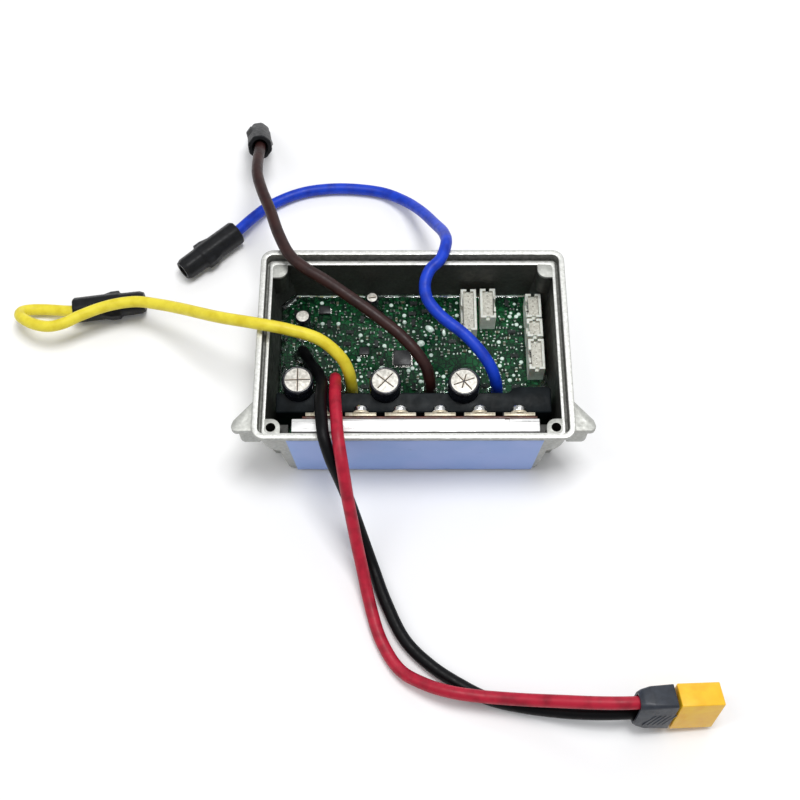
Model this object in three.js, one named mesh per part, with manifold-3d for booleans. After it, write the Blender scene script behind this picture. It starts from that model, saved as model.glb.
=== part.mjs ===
// Electronic speed controller with its lid off: a die-cast aluminium tub, a row of power
// transistors screwed to a heat bar, a potted circuit board and five flying leads.
// Units are millimetres, +Z is up and the front wall, with its thermal pad, faces -Y.
// The origin is the middle of the tub's underside, which stands on the work surface.

import * as THREE from 'three';
import Module from 'manifold-3d';
import { ConvexGeometry } from 'three/addons/geometries/ConvexGeometry.js';
import { mergeVertices } from 'three/addons/utils/BufferGeometryUtils.js';

const wasm = await Module();
wasm.setup();

// Tub
const TUB_W = 110.4;
const TUB_D = 75.3;
const TUB_H = 33;
const RIM_RADIUS = 4.5;
const RIM_THICK = 1.8;
const RIM_BAND = 2;
const RIM_OVERHANG = 1.4;
const LEDGE_DROP = 2.7;
const GROOVE_WIDTH = 1.05;
const GROOVE_WIDTH_FRONT = 0.7;
const GROOVE_DEPTH = 1.5;
const WALL = 2.1;
const FLOOR = 2.2;
const UPPER_BOTTOM = 18.5;
const UPPER_RADIUS = 7;
const LOWER_CHAMFER = 6.8;
const BASE_HALF_W = 51;
const BASE_HALF_D = 35;
const CAVITY_HALF_W = 50.9;
const CAVITY_FRONT = -34.3;
const CAVITY_FLOOR_FRONT = -33.3;
const CAVITY_BACK = 32.9;
const RECESS_X = [45, 46.6];
const RECESS_BACK = -29;
const RECESS_WALL_X = 43.95;
const RECESS_WALL_BACK = -26.9;
const OUTSIDE = 70;
const BOSS_X = 48.9;
const BOSS_FRONT_Y = -32.2;
const BOSS_BACK_Y = 30.9;
const BOSS_RADIUS = 3.3;
const LID_SCREW_RADIUS = 1.7;
const LID_SCREW_DEPTH = 9;
const BOARD_POST_X = 40;
const BOARD_POST_RADIUS = 2.5;
const EAR_TIP_X = 62.4;
const EAR_FRONT = -34;
const EAR_BACK = -21;
const EAR_NECK_X = 53.8;
const EAR_PLATE = 2.6;
const EAR_HEIGHT = 10;
const PAD_BOTTOM = { x0: -41.8, x1: 42.9, z: 1 };
const PAD_TOP = { x0: -43.6, x1: 44.6, z: 30 };
const PAD_THICK = 0.8;

// Board and the clear resin over it
const BOARD_TOP = 7.6;
const BOARD_THICK = 1.6;
const BOARD_HALF_W = 49.1;
const BOARD_FRONT = -26.4;
const BOARD_BACK = 32.4;
const RESIN_THICK = 0.9;

// Gaps between neighbours: beside a piece, and between two faces that rest on each other
const GAP = 0.3;
const CONTACT_GAP = 0.1;

// Power stage along the front wall
const STAGE_TOP = 28.5;
const FET_COUNT = 6;
const FET_PITCH = 13.73;
const FET_FIRST_X = -31.9;
const FET_WIDTH = 10.8;
const TAB_BACK = -25.75;
const TAB_THICK = 1.3;
const FET_LENGTH = 15.8;
const FET_BODY_LENGTH = 9.2;
const FET_BODY_DEPTH = 4.5;
const LEG_PITCH = 2.54;
const LEG_WIDTH = 0.8;
const SCREW_Z = 25.8;
const SCREW_HOLE_RADIUS = 1.8;
const WASHER_THICK = 0.9;
const FILM_THICK = 0.8;
const FILM_X = [-38.4, 42.9];
const FILM_BOTTOM = 12;
const BAR_X = [-42, 43.6];
const BAR_STEP_X = [-32, 32.5];
const BAR_STEP_WIDTH = 1.4;
const BAR_STEP_DROP = 0.3;
const BAR_BORE_END = -32.2;
const BAR_FRONT = -33;
const POTTING_TOP = 22;
const POTTING_FRONT = -22.2;
const POTTING_BACK = -15;
const POTTING_CORNER_BACK = -12.6;
const POTTING_X = [-48.6, 49];

// Capacitors and board headers
const BIG_CAP_RADIUS = 5.6;
const BIG_CAP_TOP = 28;
const HEADER_W = 5.75;
const HEADER_H = 9.2;
const HEADER_PITCH = 2.5;
const HEADER_END = 4.9;
const HEADER_WALL = 0.95;
const HEADER_FLOOR = 2.4;
const HEADER_PIN = 0.64;
const HEADER_NOTCH_WIDTH = 2.2;
const HEADER_NOTCH_DEPTH = 4.5;

// Leads and plugs
const WIRE_DIAMETER = 4.3;
const WIRE_SIDES = 10;
const WIRE_STEP = 8.4;
const PLUG_LENGTH = 27;
const PLUG_BORE_RADIUS = 2.5;
const PLUG_WEB = [8.6, 12.6];
const LATCH_X = [10.5, 15.5];
const LATCH_HALF_SPAN = 5.7;
const BATTERY_PLUG = { length: 14.4, thick: 8.1, tall: 16, wall: 1.2, pinZ: 3.6, pinRadius: 1.75 };
const SHEATH = { length: 12.5, margin: 0.15, wall: 0.8 };

// ---------------------------------------------------------------- solids

function toSolid(geometry) {
  const bare = new THREE.BufferGeometry();
  bare.setAttribute('position', geometry.getAttribute('position').clone());
  if (geometry.index) bare.setIndex(geometry.index.clone());
  const merged = mergeVertices(bare, 1e-4);
  return new wasm.Manifold(new wasm.Mesh({
    numProp: 3,
    vertProperties: new Float32Array(merged.attributes.position.array),
    triVerts: new Uint32Array(merged.index.array),
  }));
}

function toGeometry(solid) {
  const mesh = solid.getMesh();
  const geometry = new THREE.BufferGeometry();
  geometry.setAttribute('position', new THREE.BufferAttribute(mesh.vertProperties, 3));
  geometry.setIndex(new THREE.BufferAttribute(mesh.triVerts, 1));
  geometry.computeVertexNormals();
  return geometry;
}

function join(solids) {
  return solids.reduce((sum, solid) => sum.add(solid));
}

function cut(solid, tools) {
  return tools.reduce((rest, tool) => rest.subtract(tool), solid);
}

// A box between two opposite corners.
function block(x0, x1, y0, y1, z0, z1) {
  const geometry = new THREE.BoxGeometry(x1 - x0, y1 - y0, z1 - z0);
  geometry.translate((x0 + x1) / 2, (y0 + y1) / 2, (z0 + z1) / 2);
  return toSolid(geometry);
}

// An upright cylinder on the point (x, y, z0).
function post(x, y, z0, z1, radius, sides = 24) {
  const geometry = new THREE.CylinderGeometry(radius, radius, z1 - z0, sides);
  geometry.rotateX(Math.PI / 2);
  geometry.translate(x, y, (z0 + z1) / 2);
  return toSolid(geometry);
}

// A cylinder along Y between y0 and y1.
function crossPost(x, z, y0, y1, radius, sides = 16) {
  const geometry = new THREE.CylinderGeometry(radius, radius, y1 - y0, sides);
  geometry.translate(x, (y0 + y1) / 2, z);
  return toSolid(geometry);
}

// A cylinder along X between x0 and x1.
function longPost(y, z, x0, x1, radius, sides = 16) {
  const geometry = new THREE.CylinderGeometry(radius, radius, x1 - x0, sides);
  geometry.rotateZ(Math.PI / 2);
  geometry.translate((x0 + x1) / 2, y, z);
  return toSolid(geometry);
}

function slab(shape, z0, z1, curveSegments = 5) {
  const geometry = new THREE.ExtrudeGeometry(shape, {
    depth: z1 - z0,
    bevelEnabled: false,
    curveSegments,
  });
  geometry.translate(0, 0, z0);
  return toSolid(geometry);
}

function roundedOutline(x0, x1, y0, y1, radius) {
  const shape = new THREE.Shape();
  shape.moveTo(x0 + radius, y0);
  shape.lineTo(x1 - radius, y0);
  shape.absarc(x1 - radius, y0 + radius, radius, -Math.PI / 2, 0);
  shape.lineTo(x1, y1 - radius);
  shape.absarc(x1 - radius, y1 - radius, radius, 0, Math.PI / 2);
  shape.lineTo(x0 + radius, y1);
  shape.absarc(x0 + radius, y1 - radius, radius, Math.PI / 2, Math.PI);
  shape.lineTo(x0, y0 + radius);
  shape.absarc(x0 + radius, y0 + radius, radius, Math.PI, Math.PI * 1.5);
  return shape;
}

// The eight corners at height z of a rectangle whose corners are cut at 45 degrees.
function octagon(halfX, y0, y1, chamfer, z) {
  return [
    [-halfX + chamfer, y0], [halfX - chamfer, y0],
    [halfX, y0 + chamfer], [halfX, y1 - chamfer],
    [halfX - chamfer, y1], [-halfX + chamfer, y1],
    [-halfX, y1 - chamfer], [-halfX, y0 + chamfer],
  ].map(([x, y]) => new THREE.Vector3(x, y, z));
}

// The points at height z of a rectangle with rounded corners.
function roundedRing(halfX, halfY, radius, z) {
  const points = roundedOutline(-halfX, halfX, -halfY, halfY, radius).getPoints(5);
  return points.map(({ x, y }) => new THREE.Vector3(x, y, z));
}

function taperedBlock(lower, upper) {
  return toSolid(new ConvexGeometry([...lower, ...upper]));
}

function material(color, roughness, metalness = 0) {
  return new THREE.MeshStandardMaterial({ color, roughness, metalness });
}

const model = new THREE.Group();

function addPart(name, solidOrGeometry, color, roughness, metalness, parent = model) {
  const isGeometry = solidOrGeometry.isBufferGeometry;
  const geometry = isGeometry ? solidOrGeometry : toGeometry(solidOrGeometry);
  const mesh = new THREE.Mesh(geometry, material(color, roughness, metalness));
  mesh.name = name;
  parent.add(mesh);
  return mesh;
}

// ---------------------------------------------------------------- tub

// A mounting lug at a front corner: a thin plate over a thicker, shorter block.
function ear(side) {
  const root = CAVITY_HALF_W + 0.6;
  const top = TUB_H - RIM_THICK;
  const plate = new THREE.Shape();
  plate.moveTo(root, EAR_FRONT);
  plate.lineTo(EAR_TIP_X - 1.5, EAR_FRONT);
  plate.quadraticCurveTo(EAR_TIP_X, EAR_FRONT + 0.6, EAR_TIP_X, EAR_FRONT + 1.8);
  plate.quadraticCurveTo(EAR_TIP_X, EAR_FRONT + 3.2, EAR_TIP_X - 0.6, EAR_FRONT + 4);
  plate.lineTo(EAR_NECK_X, EAR_BACK);
  plate.lineTo(root, EAR_BACK);
  const foot = new THREE.Shape();
  foot.moveTo(root, EAR_FRONT + 0.2);
  foot.lineTo(EAR_TIP_X - 3, EAR_FRONT + 0.2);
  foot.quadraticCurveTo(EAR_TIP_X - 2, EAR_FRONT + 1, EAR_TIP_X - 2, EAR_FRONT + 2.4);
  foot.lineTo(EAR_TIP_X - 3, EAR_FRONT + 5.4);
  foot.lineTo(EAR_NECK_X, EAR_BACK - 1.8);
  foot.lineTo(root, EAR_BACK - 1.8);
  const lug = join([
    slab(plate, top - EAR_PLATE, top),
    slab(foot, top - EAR_HEIGHT, top - EAR_PLATE + 0.5),
  ]);
  return side > 0 ? lug : lug.mirror([1, 0, 0]);
}

// A corner column under the lid, filled out to the two walls that it stands against.
function boss(sideX, y, sideY) {
  const top = TUB_H - LEDGE_DROP;
  const bottom = UPPER_BOTTOM + 0.5;
  const wallX = TUB_W / 2 - RIM_OVERHANG - 0.5;
  const wallY = TUB_D / 2 - RIM_OVERHANG - 0.5;
  const x = sideX * BOSS_X;
  const spanX = [x, sideX * wallX].sort((a, b) => a - b);
  const spanY = [y, sideY * wallY].sort((a, b) => a - b);
  return join([
    post(x, y, bottom, top, BOSS_RADIUS),
    block(spanX[0], spanX[1], y - 2.2, y + 2.2, bottom, top),
    block(x - 2.2, x + 2.2, spanY[0], spanY[1], bottom, top),
    block(spanX[0], spanX[1], spanY[0], spanY[1], bottom, top),
  ]);
}

// Half the depth over the front and rear walls at height z, where both lean in towards the floor.
function wallDepth(z) {
  const rimBottom = TUB_H - RIM_THICK;
  const top = TUB_D / 2 - RIM_OVERHANG;
  return BASE_HALF_D + (top - BASE_HALF_D) * z / rimBottom;
}

// The channel for a seal round the ledge, just inside the rim.
function sealGroove(outer) {
  const floor = TUB_H - LEDGE_DROP - GROOVE_DEPTH;
  const innerX = TUB_W / 2 - RIM_BAND - GROOVE_WIDTH;
  const innerBack = TUB_D / 2 - RIM_BAND - GROOVE_WIDTH;
  const innerFront = RIM_BAND + GROOVE_WIDTH_FRONT - TUB_D / 2;
  const island = roundedOutline(-innerX, innerX, innerFront, innerBack, 1.5);
  return slab(outer, floor, TUB_H + 0.5).subtract(slab(island, floor - 1, TUB_H + 1));
}

// The space under an ear, where the lower body's front corner is set back.
function earRecess(side) {
  const [bottomX, topX] = RECESS_X;
  const corners = (x, z) => [
    [x, RECESS_BACK], [OUTSIDE, RECESS_BACK], [OUTSIDE, -OUTSIDE], [x, -OUTSIDE],
  ].map(([px, py]) => new THREE.Vector3(side * px, py, z));
  return taperedBlock(corners(bottomX, -1), corners(topX, UPPER_BOTTOM));
}

function makeTub() {
  const halfW = TUB_W / 2;
  const halfD = TUB_D / 2;
  const wallW = halfW - RIM_OVERHANG;
  const rimBottom = TUB_H - RIM_THICK;
  const kneeD = wallDepth(UPPER_BOTTOM);
  const rim = roundedOutline(-halfW, halfW, -halfD, halfD, RIM_RADIUS);
  const step = roundedOutline(
    -halfW + RIM_BAND, halfW - RIM_BAND, -halfD + RIM_BAND, halfD - RIM_BAND, 2.5);
  const mouth = roundedOutline(-CAVITY_HALF_W, CAVITY_HALF_W, CAVITY_FRONT, CAVITY_BACK, 1.5);
  const shell = join([
    slab(rim, rimBottom, TUB_H),
    taperedBlock(
      roundedRing(wallW, kneeD, UPPER_RADIUS, UPPER_BOTTOM),
      roundedRing(wallW, wallDepth(rimBottom), RIM_RADIUS - 1, rimBottom + 0.2)),
    taperedBlock(
      octagon(BASE_HALF_W, -BASE_HALF_D, BASE_HALF_D, LOWER_CHAMFER, 0),
      octagon(wallW, -kneeD, kneeD, LOWER_CHAMFER, UPPER_BOTTOM)),
    ear(1),
    ear(-1),
  ]);
  const innerChamfer = LOWER_CHAMFER - WALL * (2 - Math.SQRT2);
  const recessWalls = [-1, 1].map((side) => {
    const [x0, x1] = [side * RECESS_WALL_X, side * OUTSIDE].sort((a, b) => a - b);
    return block(x0, x1, -OUTSIDE, RECESS_WALL_BACK, -1, UPPER_BOTTOM + WALL);
  });
  const hollow = join([
    slab(step, TUB_H - LEDGE_DROP, TUB_H + 1),
    cut(join([
      slab(mouth, UPPER_BOTTOM - 0.4, TUB_H - LEDGE_DROP + 0.2),
      taperedBlock(
        octagon(BASE_HALF_W - WALL, CAVITY_FLOOR_FRONT, CAVITY_BACK, innerChamfer, FLOOR),
        octagon(CAVITY_HALF_W, CAVITY_FRONT, CAVITY_BACK, innerChamfer, UPPER_BOTTOM)),
    ]), recessWalls),
    sealGroove(step),
  ]);
  const bosses = [-1, 1].flatMap((side) => [
    boss(side, BOSS_FRONT_Y, -1),
    boss(side, BOSS_BACK_Y, 1),
  ]);
  const boardSeat = BOARD_TOP - BOARD_THICK - CONTACT_GAP;
  const boardPosts = [-1, 1].flatMap((side) => [BOARD_FRONT + 6, BOARD_BACK - 5].map(
    (y) => post(side * BOARD_POST_X, y, FLOOR - 0.5, boardSeat, BOARD_POST_RADIUS, 12)));
  const holes = [-1, 1].map((side) => post(
    side * BOSS_X, BOSS_FRONT_Y,
    TUB_H - LEDGE_DROP - LID_SCREW_DEPTH, TUB_H, LID_SCREW_RADIUS, 16));
  return cut(join([shell.subtract(hollow), ...bosses, ...boardPosts]), [
    ...holes, earRecess(-1), earRecess(1),
  ]);
}

addPart('housing', makeTub(), 0xb9bbb7, 0.45, 0.9);

// The pad lies on the leaning front wall and is a little wider at its top.
function makePad() {
  const corners = ({ x0, x1, z }) => {
    const back = -wallDepth(z) - CONTACT_GAP;
    return [[x0, back], [x1, back], [x1, back - PAD_THICK], [x0, back - PAD_THICK]]
      .map(([x, y]) => new THREE.Vector3(x, y, z));
  };
  return taperedBlock(corners(PAD_BOTTOM), corners(PAD_TOP));
}

addPart('thermal_pad', makePad(), 0x8f9ccd, 0.7, 0);

// ---------------------------------------------------------------- power stage

const tabFront = TAB_BACK - TAB_THICK;
const filmBack = tabFront - CONTACT_GAP;
const filmFront = filmBack - FILM_THICK;
const barBack = filmFront - CONTACT_GAP;
const boardPartBottom = BOARD_TOP + CONTACT_GAP;
const fetXs = Array.from({ length: FET_COUNT }, (_, i) => FET_FIRST_X + i * FET_PITCH);

// The bar stands on the tub's floor. Its top is a step lower along the front of each end.
function makeHeatBar() {
  const [x0, x1] = BAR_X;
  const [stepX0, stepX1] = BAR_STEP_X;
  const top = STAGE_TOP - 0.2;
  const bar = block(x0, x1, BAR_FRONT, barBack, FLOOR + CONTACT_GAP, top);
  const steps = [[x0 - 1, stepX0], [stepX1, x1 + 1]].map(([from, to]) => block(
    from, to, BAR_FRONT - 1, barBack - BAR_STEP_WIDTH, top - BAR_STEP_DROP, top + 1));
  const bores = fetXs.map((x) => crossPost(
    x, SCREW_Z, BAR_BORE_END, barBack + 1, SCREW_HOLE_RADIUS - 0.2, 12));
  return cut(bar, [...steps, ...bores]);
}

addPart('heat_bar', makeHeatBar(), 0xe4e5e3, 0.35, 0.9);

const film = cut(
  block(...FILM_X, filmFront, filmBack, FILM_BOTTOM, STAGE_TOP - 0.1),
  fetXs.map((x) => crossPost(x, SCREW_Z, filmFront - 1, filmBack + 1, SCREW_HOLE_RADIUS, 12)));
addPart('insulating_film', film, 0x6a2f1e, 0.5, 0);

// An upright transistor: metal tab at the front, moulded body behind it, three legs below.
function makeFet(x) {
  const bottom = STAGE_TOP - FET_LENGTH;
  const half = FET_WIDTH / 2;
  const bodyBack = tabFront + FET_BODY_DEPTH;
  const legs = [-LEG_PITCH, 0, LEG_PITCH].map((offset) => block(
    x + offset - LEG_WIDTH / 2, x + offset + LEG_WIDTH / 2, bodyBack - 2.6, bodyBack - 2,
    boardPartBottom, bottom + 1));
  const tab = block(x - half, x + half, tabFront, TAB_BACK, bottom, STAGE_TOP);
  const body = block(x - half, x + half, tabFront + 0.4, bodyBack, bottom, bottom + FET_BODY_LENGTH);
  const hole = crossPost(x, SCREW_Z, tabFront - 1, TAB_BACK + 1, SCREW_HOLE_RADIUS, 12);
  return cut(join([tab, body, ...legs]), [hole]);
}

// A washer whose rim is bevelled towards the screw head.
function makeWasher(x) {
  const profile = [[1.7, 0], [3.1, 0], [2.85, WASHER_THICK], [1.7, WASHER_THICK]];
  const points = [...profile, profile[0]].map(([r, y]) => new THREE.Vector2(r, y));
  const geometry = new THREE.LatheGeometry(points, 20);
  geometry.translate(x, TAB_BACK + CONTACT_GAP / 2, SCREW_Z);
  return toSolid(geometry);
}

// A pan-head screw that runs forwards through washer, tab and film into the bar.
function makeScrew(x) {
  const seat = TAB_BACK + WASHER_THICK + CONTACT_GAP;
  const profile = [[0, -5.6], [1.25, -5.6], [1.25, 0], [2.6, 0], [2.6, 1.5], [2.1, 2.3], [0, 2.5]];
  const points = profile.map(([r, y]) => new THREE.Vector2(r, y));
  const geometry = new THREE.LatheGeometry(points, 16);
  geometry.translate(x, seat, SCREW_Z);
  const slot = block(x - 0.35, x + 0.35, seat + 1.6, seat + 3, SCREW_Z - 1.6, SCREW_Z + 1.6);
  return toSolid(geometry).subtract(slot);
}

fetXs.forEach((x, i) => {
  addPart(`mosfet_${i + 1}`, makeFet(x), 0x2a2c2e, 0.4, 0.3);
  addPart(`washer_${i + 1}`, makeWasher(x), 0xc9c6ba, 0.35, 0.9);
  addPart(`mosfet_screw_${i + 1}`, makeScrew(x), 0xd2d4d4, 0.25, 0.95);
});

// ---------------------------------------------------------------- parts on the board

// Centres of the big cans; centre, radius and top of the small ones.
const bigCaps = [[-40.6, -12.7], [-9.8, -13.1], [17.9, -13.4]];
const smallCaps = [[-40.5, 17.4, 2.8, 20], [-15, 26.5, 2.35, 18]];

// An electrolytic can: its sleeve is rolled over the top edge around a recessed metal disc.
function makeCapacitor([x, y], radius, top) {
  const bottom = boardPartBottom;
  const roll = radius * 0.1;
  const discRadius = radius * 0.8;
  const profile = [
    [0, bottom], [radius - 0.5, bottom], [radius, bottom + 0.8], [radius, top - 0.8],
    [radius - roll, top], [discRadius, top], [discRadius, top - 0.4], [0, top - 0.4],
  ];
  const points = profile.map(([r, z]) => new THREE.Vector2(r, z));
  const geometry = new THREE.LatheGeometry(points, 24);
  geometry.rotateX(Math.PI / 2);
  geometry.translate(x, y, 0);
  return toSolid(geometry);
}

bigCaps.forEach((place, i) => {
  addPart(`bulk_capacitor_${i + 1}`, makeCapacitor(place, BIG_CAP_RADIUS, BIG_CAP_TOP),
    0x1b1c22, 0.35, 0.1);
});
smallCaps.forEach(([x, y, radius, top], i) => {
  addPart(`small_capacitor_${i + 1}`, makeCapacitor([x, y], radius, top), 0x1b1c22, 0.35, 0.1);
});

// Wire-to-board headers: name, centre, pin count and the side in X that the notch is on.
// Each row of pins runs along Y.
const headers = [
  ['header_left_6pin', 21, 21.9, 6, -1],
  ['header_mid_4pin', 28.2, 24.6, 4, 1],
  ['header_right_3pin', 45.1, 23.6, 3, -1],
  ['header_right_2pin', 45.2, 14.2, 2, -1],
  ['header_right_4pin', 45.3, 3.2, 4, -1],
];

function headerHalfLength(pins) {
  return ((pins - 1) * HEADER_PITCH + HEADER_END) / 2;
}

// An open-topped shroud with its pins standing on the floor, notched on one long side.
function makeHeader(x, y, pins, notchSide) {
  const halfW = HEADER_W / 2;
  const halfL = headerHalfLength(pins);
  const z0 = boardPartBottom;
  const z1 = z0 + HEADER_H;
  const body = block(x - halfW, x + halfW, y - halfL, y + halfL, z0, z1);
  const well = block(
    x - halfW + HEADER_WALL, x + halfW - HEADER_WALL,
    y - halfL + HEADER_WALL, y + halfL - HEADER_WALL, z0 + HEADER_FLOOR, z1 + 1);
  const notchX = [x, x + notchSide * (halfW + 1)].sort((a, b) => a - b);
  const notch = block(
    ...notchX, y - HEADER_NOTCH_WIDTH / 2, y + HEADER_NOTCH_WIDTH / 2,
    z1 - HEADER_NOTCH_DEPTH, z1 + 1);
  const halfPin = HEADER_PIN / 2;
  const pinPosts = Array.from({ length: pins }, (_, i) => {
    const pinY = y + (i - (pins - 1) / 2) * HEADER_PITCH;
    return block(
      x - halfPin, x + halfPin, pinY - halfPin, pinY + halfPin, z0 + HEADER_FLOOR - 0.4, z1 - 1.8);
  });
  return join([cut(body, [well, notch]), ...pinPosts]);
}

headers.forEach(([name, x, y, pins, side]) => {
  addPart(name, makeHeader(x, y, pins, side), 0xe6e4da, 0.5, 0);
});

// Chips: name, centre, size in X and Y, height.
const chips = [
  ['controller_chip', -3.8, 5.8, 7.6, 7.2, 1.6],
  ['regulator_chip', -18, 8.7, 4.8, 4.2, 1.6],
  ['driver_chip', -33.2, 26.3, 5.2, 4.4, 1.6],
];

chips.forEach(([name, x, y, w, l, h]) => {
  const body = block(x - w / 2, x + w / 2, y - l / 2, y + l / 2, boardPartBottom, BOARD_TOP + h);
  addPart(name, body, 0x1c1d1f, 0.4, 0);
});

// ---------------------------------------------------------------- leads

// Each route starts on the board under the resin and ends inside its plug.
const routes = {
  battery_wire_red: [
    [-28.1, -7, 8], [-28.1, -7, 12], [-28, -7.5, 18], [-27.5, -11, 24], [-27.1, -20, 30.4],
    [-26.4, -28, 34.2], [-25.4, -38.2, 36.8], [-24.1, -46.2, 35], [-23.1, -51.8, 31],
    [-22.1, -56.9, 25.5], [-20.9, -62, 20], [-19.3, -68.6, 13], [-17.5, -75.7, 7.5],
    [-15.3, -85.2, 3.8], [-11.1, -98.7, 2.4], [-4.6, -109, 3], [3.6, -114.2, 5.5],
    [11.8, -117.1, 7.2], [19.9, -118.5, 7.8], [28, -119.4, 8.6], [37.4, -120.4, 10.5],
    [46.6, -121.3, 13], [58.5, -122.3, 15.5], [67.5, -122.5, 16.2], [74.5, -122.1, 15.4],
    [81.4, -121.7, 14.5],
  ],
  battery_wire_black: [
    [-40.9, 7.6, 8], [-40.9, 7.4, 11], [-39.8, 4.6, 15], [-37, -1.5, 18.5], [-34.1, -7, 22.4],
    [-32.3, -12.5, 25.8], [-32, -18, 29.2], [-31.9, -24, 32.4], [-31.2, -31, 35.2], [-30.2, -38.2, 36],
    [-27.8, -44.8, 32], [-24.9, -49.8, 26], [-22.2, -54.6, 19.5], [-19.8, -59.5, 13],
    [-16.8, -66.4, 6.5], [-13.7, -74.2, 2.7], [-9.8, -84.8, 2.4], [-3, -98.7, 2.4],
    [5.4, -107.2, 2.4], [15.4, -113.8, 2.4], [25.2, -118.6, 2.4], [35, -121, 3],
    [42.9, -122.5, 4.6], [52.2, -123.8, 6.8], [61, -124.4, 8.7], [66.8, -124.4, 9.3],
    [73.5, -124, 8.5], [80.6, -123.6, 7.6],
  ],
  phase_wire_yellow: [
    [-22.1, -9.6, 8], [-22.1, -9.6, 12], [-22.2, -9, 17.5], [-23, -7, 23], [-25.4, -4, 27.5],
    [-32.8, 0.8, 32.2], [-43.2, 3.2, 35], [-54.5, 5.2, 36], [-69.1, 10.9, 30.5],
    [-85.9, 20.4, 20.5], [-94.4, 24.4, 16.4], [-104.6, 27.3, 13.6], [-114.8, 25.9, 12.9],
    [-125, 21.8, 12.6], [-130.3, 18.9, 12.4], [-135.9, 17.6, 12], [-141.6, 18.8, 11.2],
    [-146.6, 21.8, 9.6], [-149.6, 25.2, 7.2], [-149.6, 28.2, 4.8], [-146.8, 29.8, 3.2],
    [-142, 30.1, 2.8], [-136.5, 29.3, 3.6], [-130.5, 28.2, 5], [-122.8, 29.3, 5.3],
  ],
  phase_wire_brown: [
    [6.2, -9.8, 8], [6.2, -9.8, 12], [6.1, -9, 18], [5, -6, 23], [1.5, -1.5, 26.6],
    [-4.6, 4.4, 29.2], [-13.5, 11.2, 31.6], [-22.5, 17.4, 33.6], [-31.5, 23.6, 35],
    [-38.8, 28.2, 35.8], [-44.3, 33.4, 36], [-48.8, 42.6, 35.4], [-52.8, 54.6, 34],
    [-56.6, 65, 32], [-58.9, 73.4, 30], [-59.5, 79.5, 28], [-59.7, 86.1, 25.1],
    [-60, 93.7, 20.5], [-60.6, 98.6, 16.6],
  ],
  phase_wire_blue: [
    [30.6, -9.8, 8], [30.6, -9.8, 12], [30, -9, 17.5], [28.2, -6, 22.5], [24.4, -1, 25.8],
    [18.6, 4.9, 28.2], [9.7, 11.7, 30.6], [5.1, 17.3, 33], [4.4, 22.4, 34.9],
    [6.2, 27.3, 35.9], [9.9, 31.4, 36.2], [12.2, 38.6, 35.4], [11.8, 47, 29.6],
    [8.4, 58.2, 20], [3.6, 69.2, 12], [-2.6, 78.4, 5.6], [-10.8, 84.3, 2.8],
    [-21, 86.5, 2.4], [-33.2, 86.8, 2.4], [-45.3, 84.6, 2.4], [-57.2, 78.1, 3],
    [-63.9, 70.9, 4.4], [-69, 64.5, 5.3], [-73, 60.7, 5.3],
  ],
};
const wireColors = {
  battery_wire_red: 0xb32038,
  battery_wire_black: 0x17181c,
  phase_wire_yellow: 0xe8d331,
  phase_wire_brown: 0x4f2424,
  phase_wire_blue: 0x2447c8,
};

function makeWire(points) {
  const curve = new THREE.CatmullRomCurve3(points.map((p) => new THREE.Vector3(...p)));
  const section = new THREE.Shape();
  for (let i = 0; i < WIRE_SIDES; i += 1) {
    const angle = (i / WIRE_SIDES) * Math.PI * 2;
    const x = (Math.cos(angle) * WIRE_DIAMETER) / 2;
    const y = (Math.sin(angle) * WIRE_DIAMETER) / 2;
    if (i === 0) section.moveTo(x, y);
    else section.lineTo(x, y);
  }
  const steps = Math.round(curve.getLength() / WIRE_STEP);
  return new THREE.ExtrudeGeometry(section, { steps, extrudePath: curve, bevelEnabled: false });
}

Object.entries(routes).forEach(([name, points]) => {
  addPart(name, makeWire(points), wireColors[name], 0.5, 0);
});

// ---------------------------------------------------------------- resin

function holesRound(list, radius, z0, z1) {
  return list.map(([x, y]) => post(x, y, z0, z1, radius, 20));
}

// The dark compound that backs the transistors, scalloped round the three big capacitors.
function makeDarkPotting() {
  const z0 = boardPartBottom;
  const [x0, x1] = POTTING_X;
  const outline = new THREE.Shape();
  outline.moveTo(x0, POTTING_FRONT);
  outline.lineTo(x1, POTTING_FRONT);
  outline.lineTo(x1, POTTING_CORNER_BACK - 1);
  outline.quadraticCurveTo(x1, POTTING_CORNER_BACK, x1 - 1.4, POTTING_CORNER_BACK);
  outline.lineTo(37.5, POTTING_CORNER_BACK);
  outline.quadraticCurveTo(35, POTTING_CORNER_BACK - 0.2, 34, POTTING_BACK);
  outline.lineTo(x0, POTTING_BACK);
  const tools = holesRound(bigCaps, BIG_CAP_RADIUS + GAP, z0 - 1, POTTING_TOP + 1);
  return cut(slab(outline, z0, POTTING_TOP), tools);
}

addPart('dark_potting', makeDarkPotting(), 0x15181a, 0.2, 0);

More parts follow.
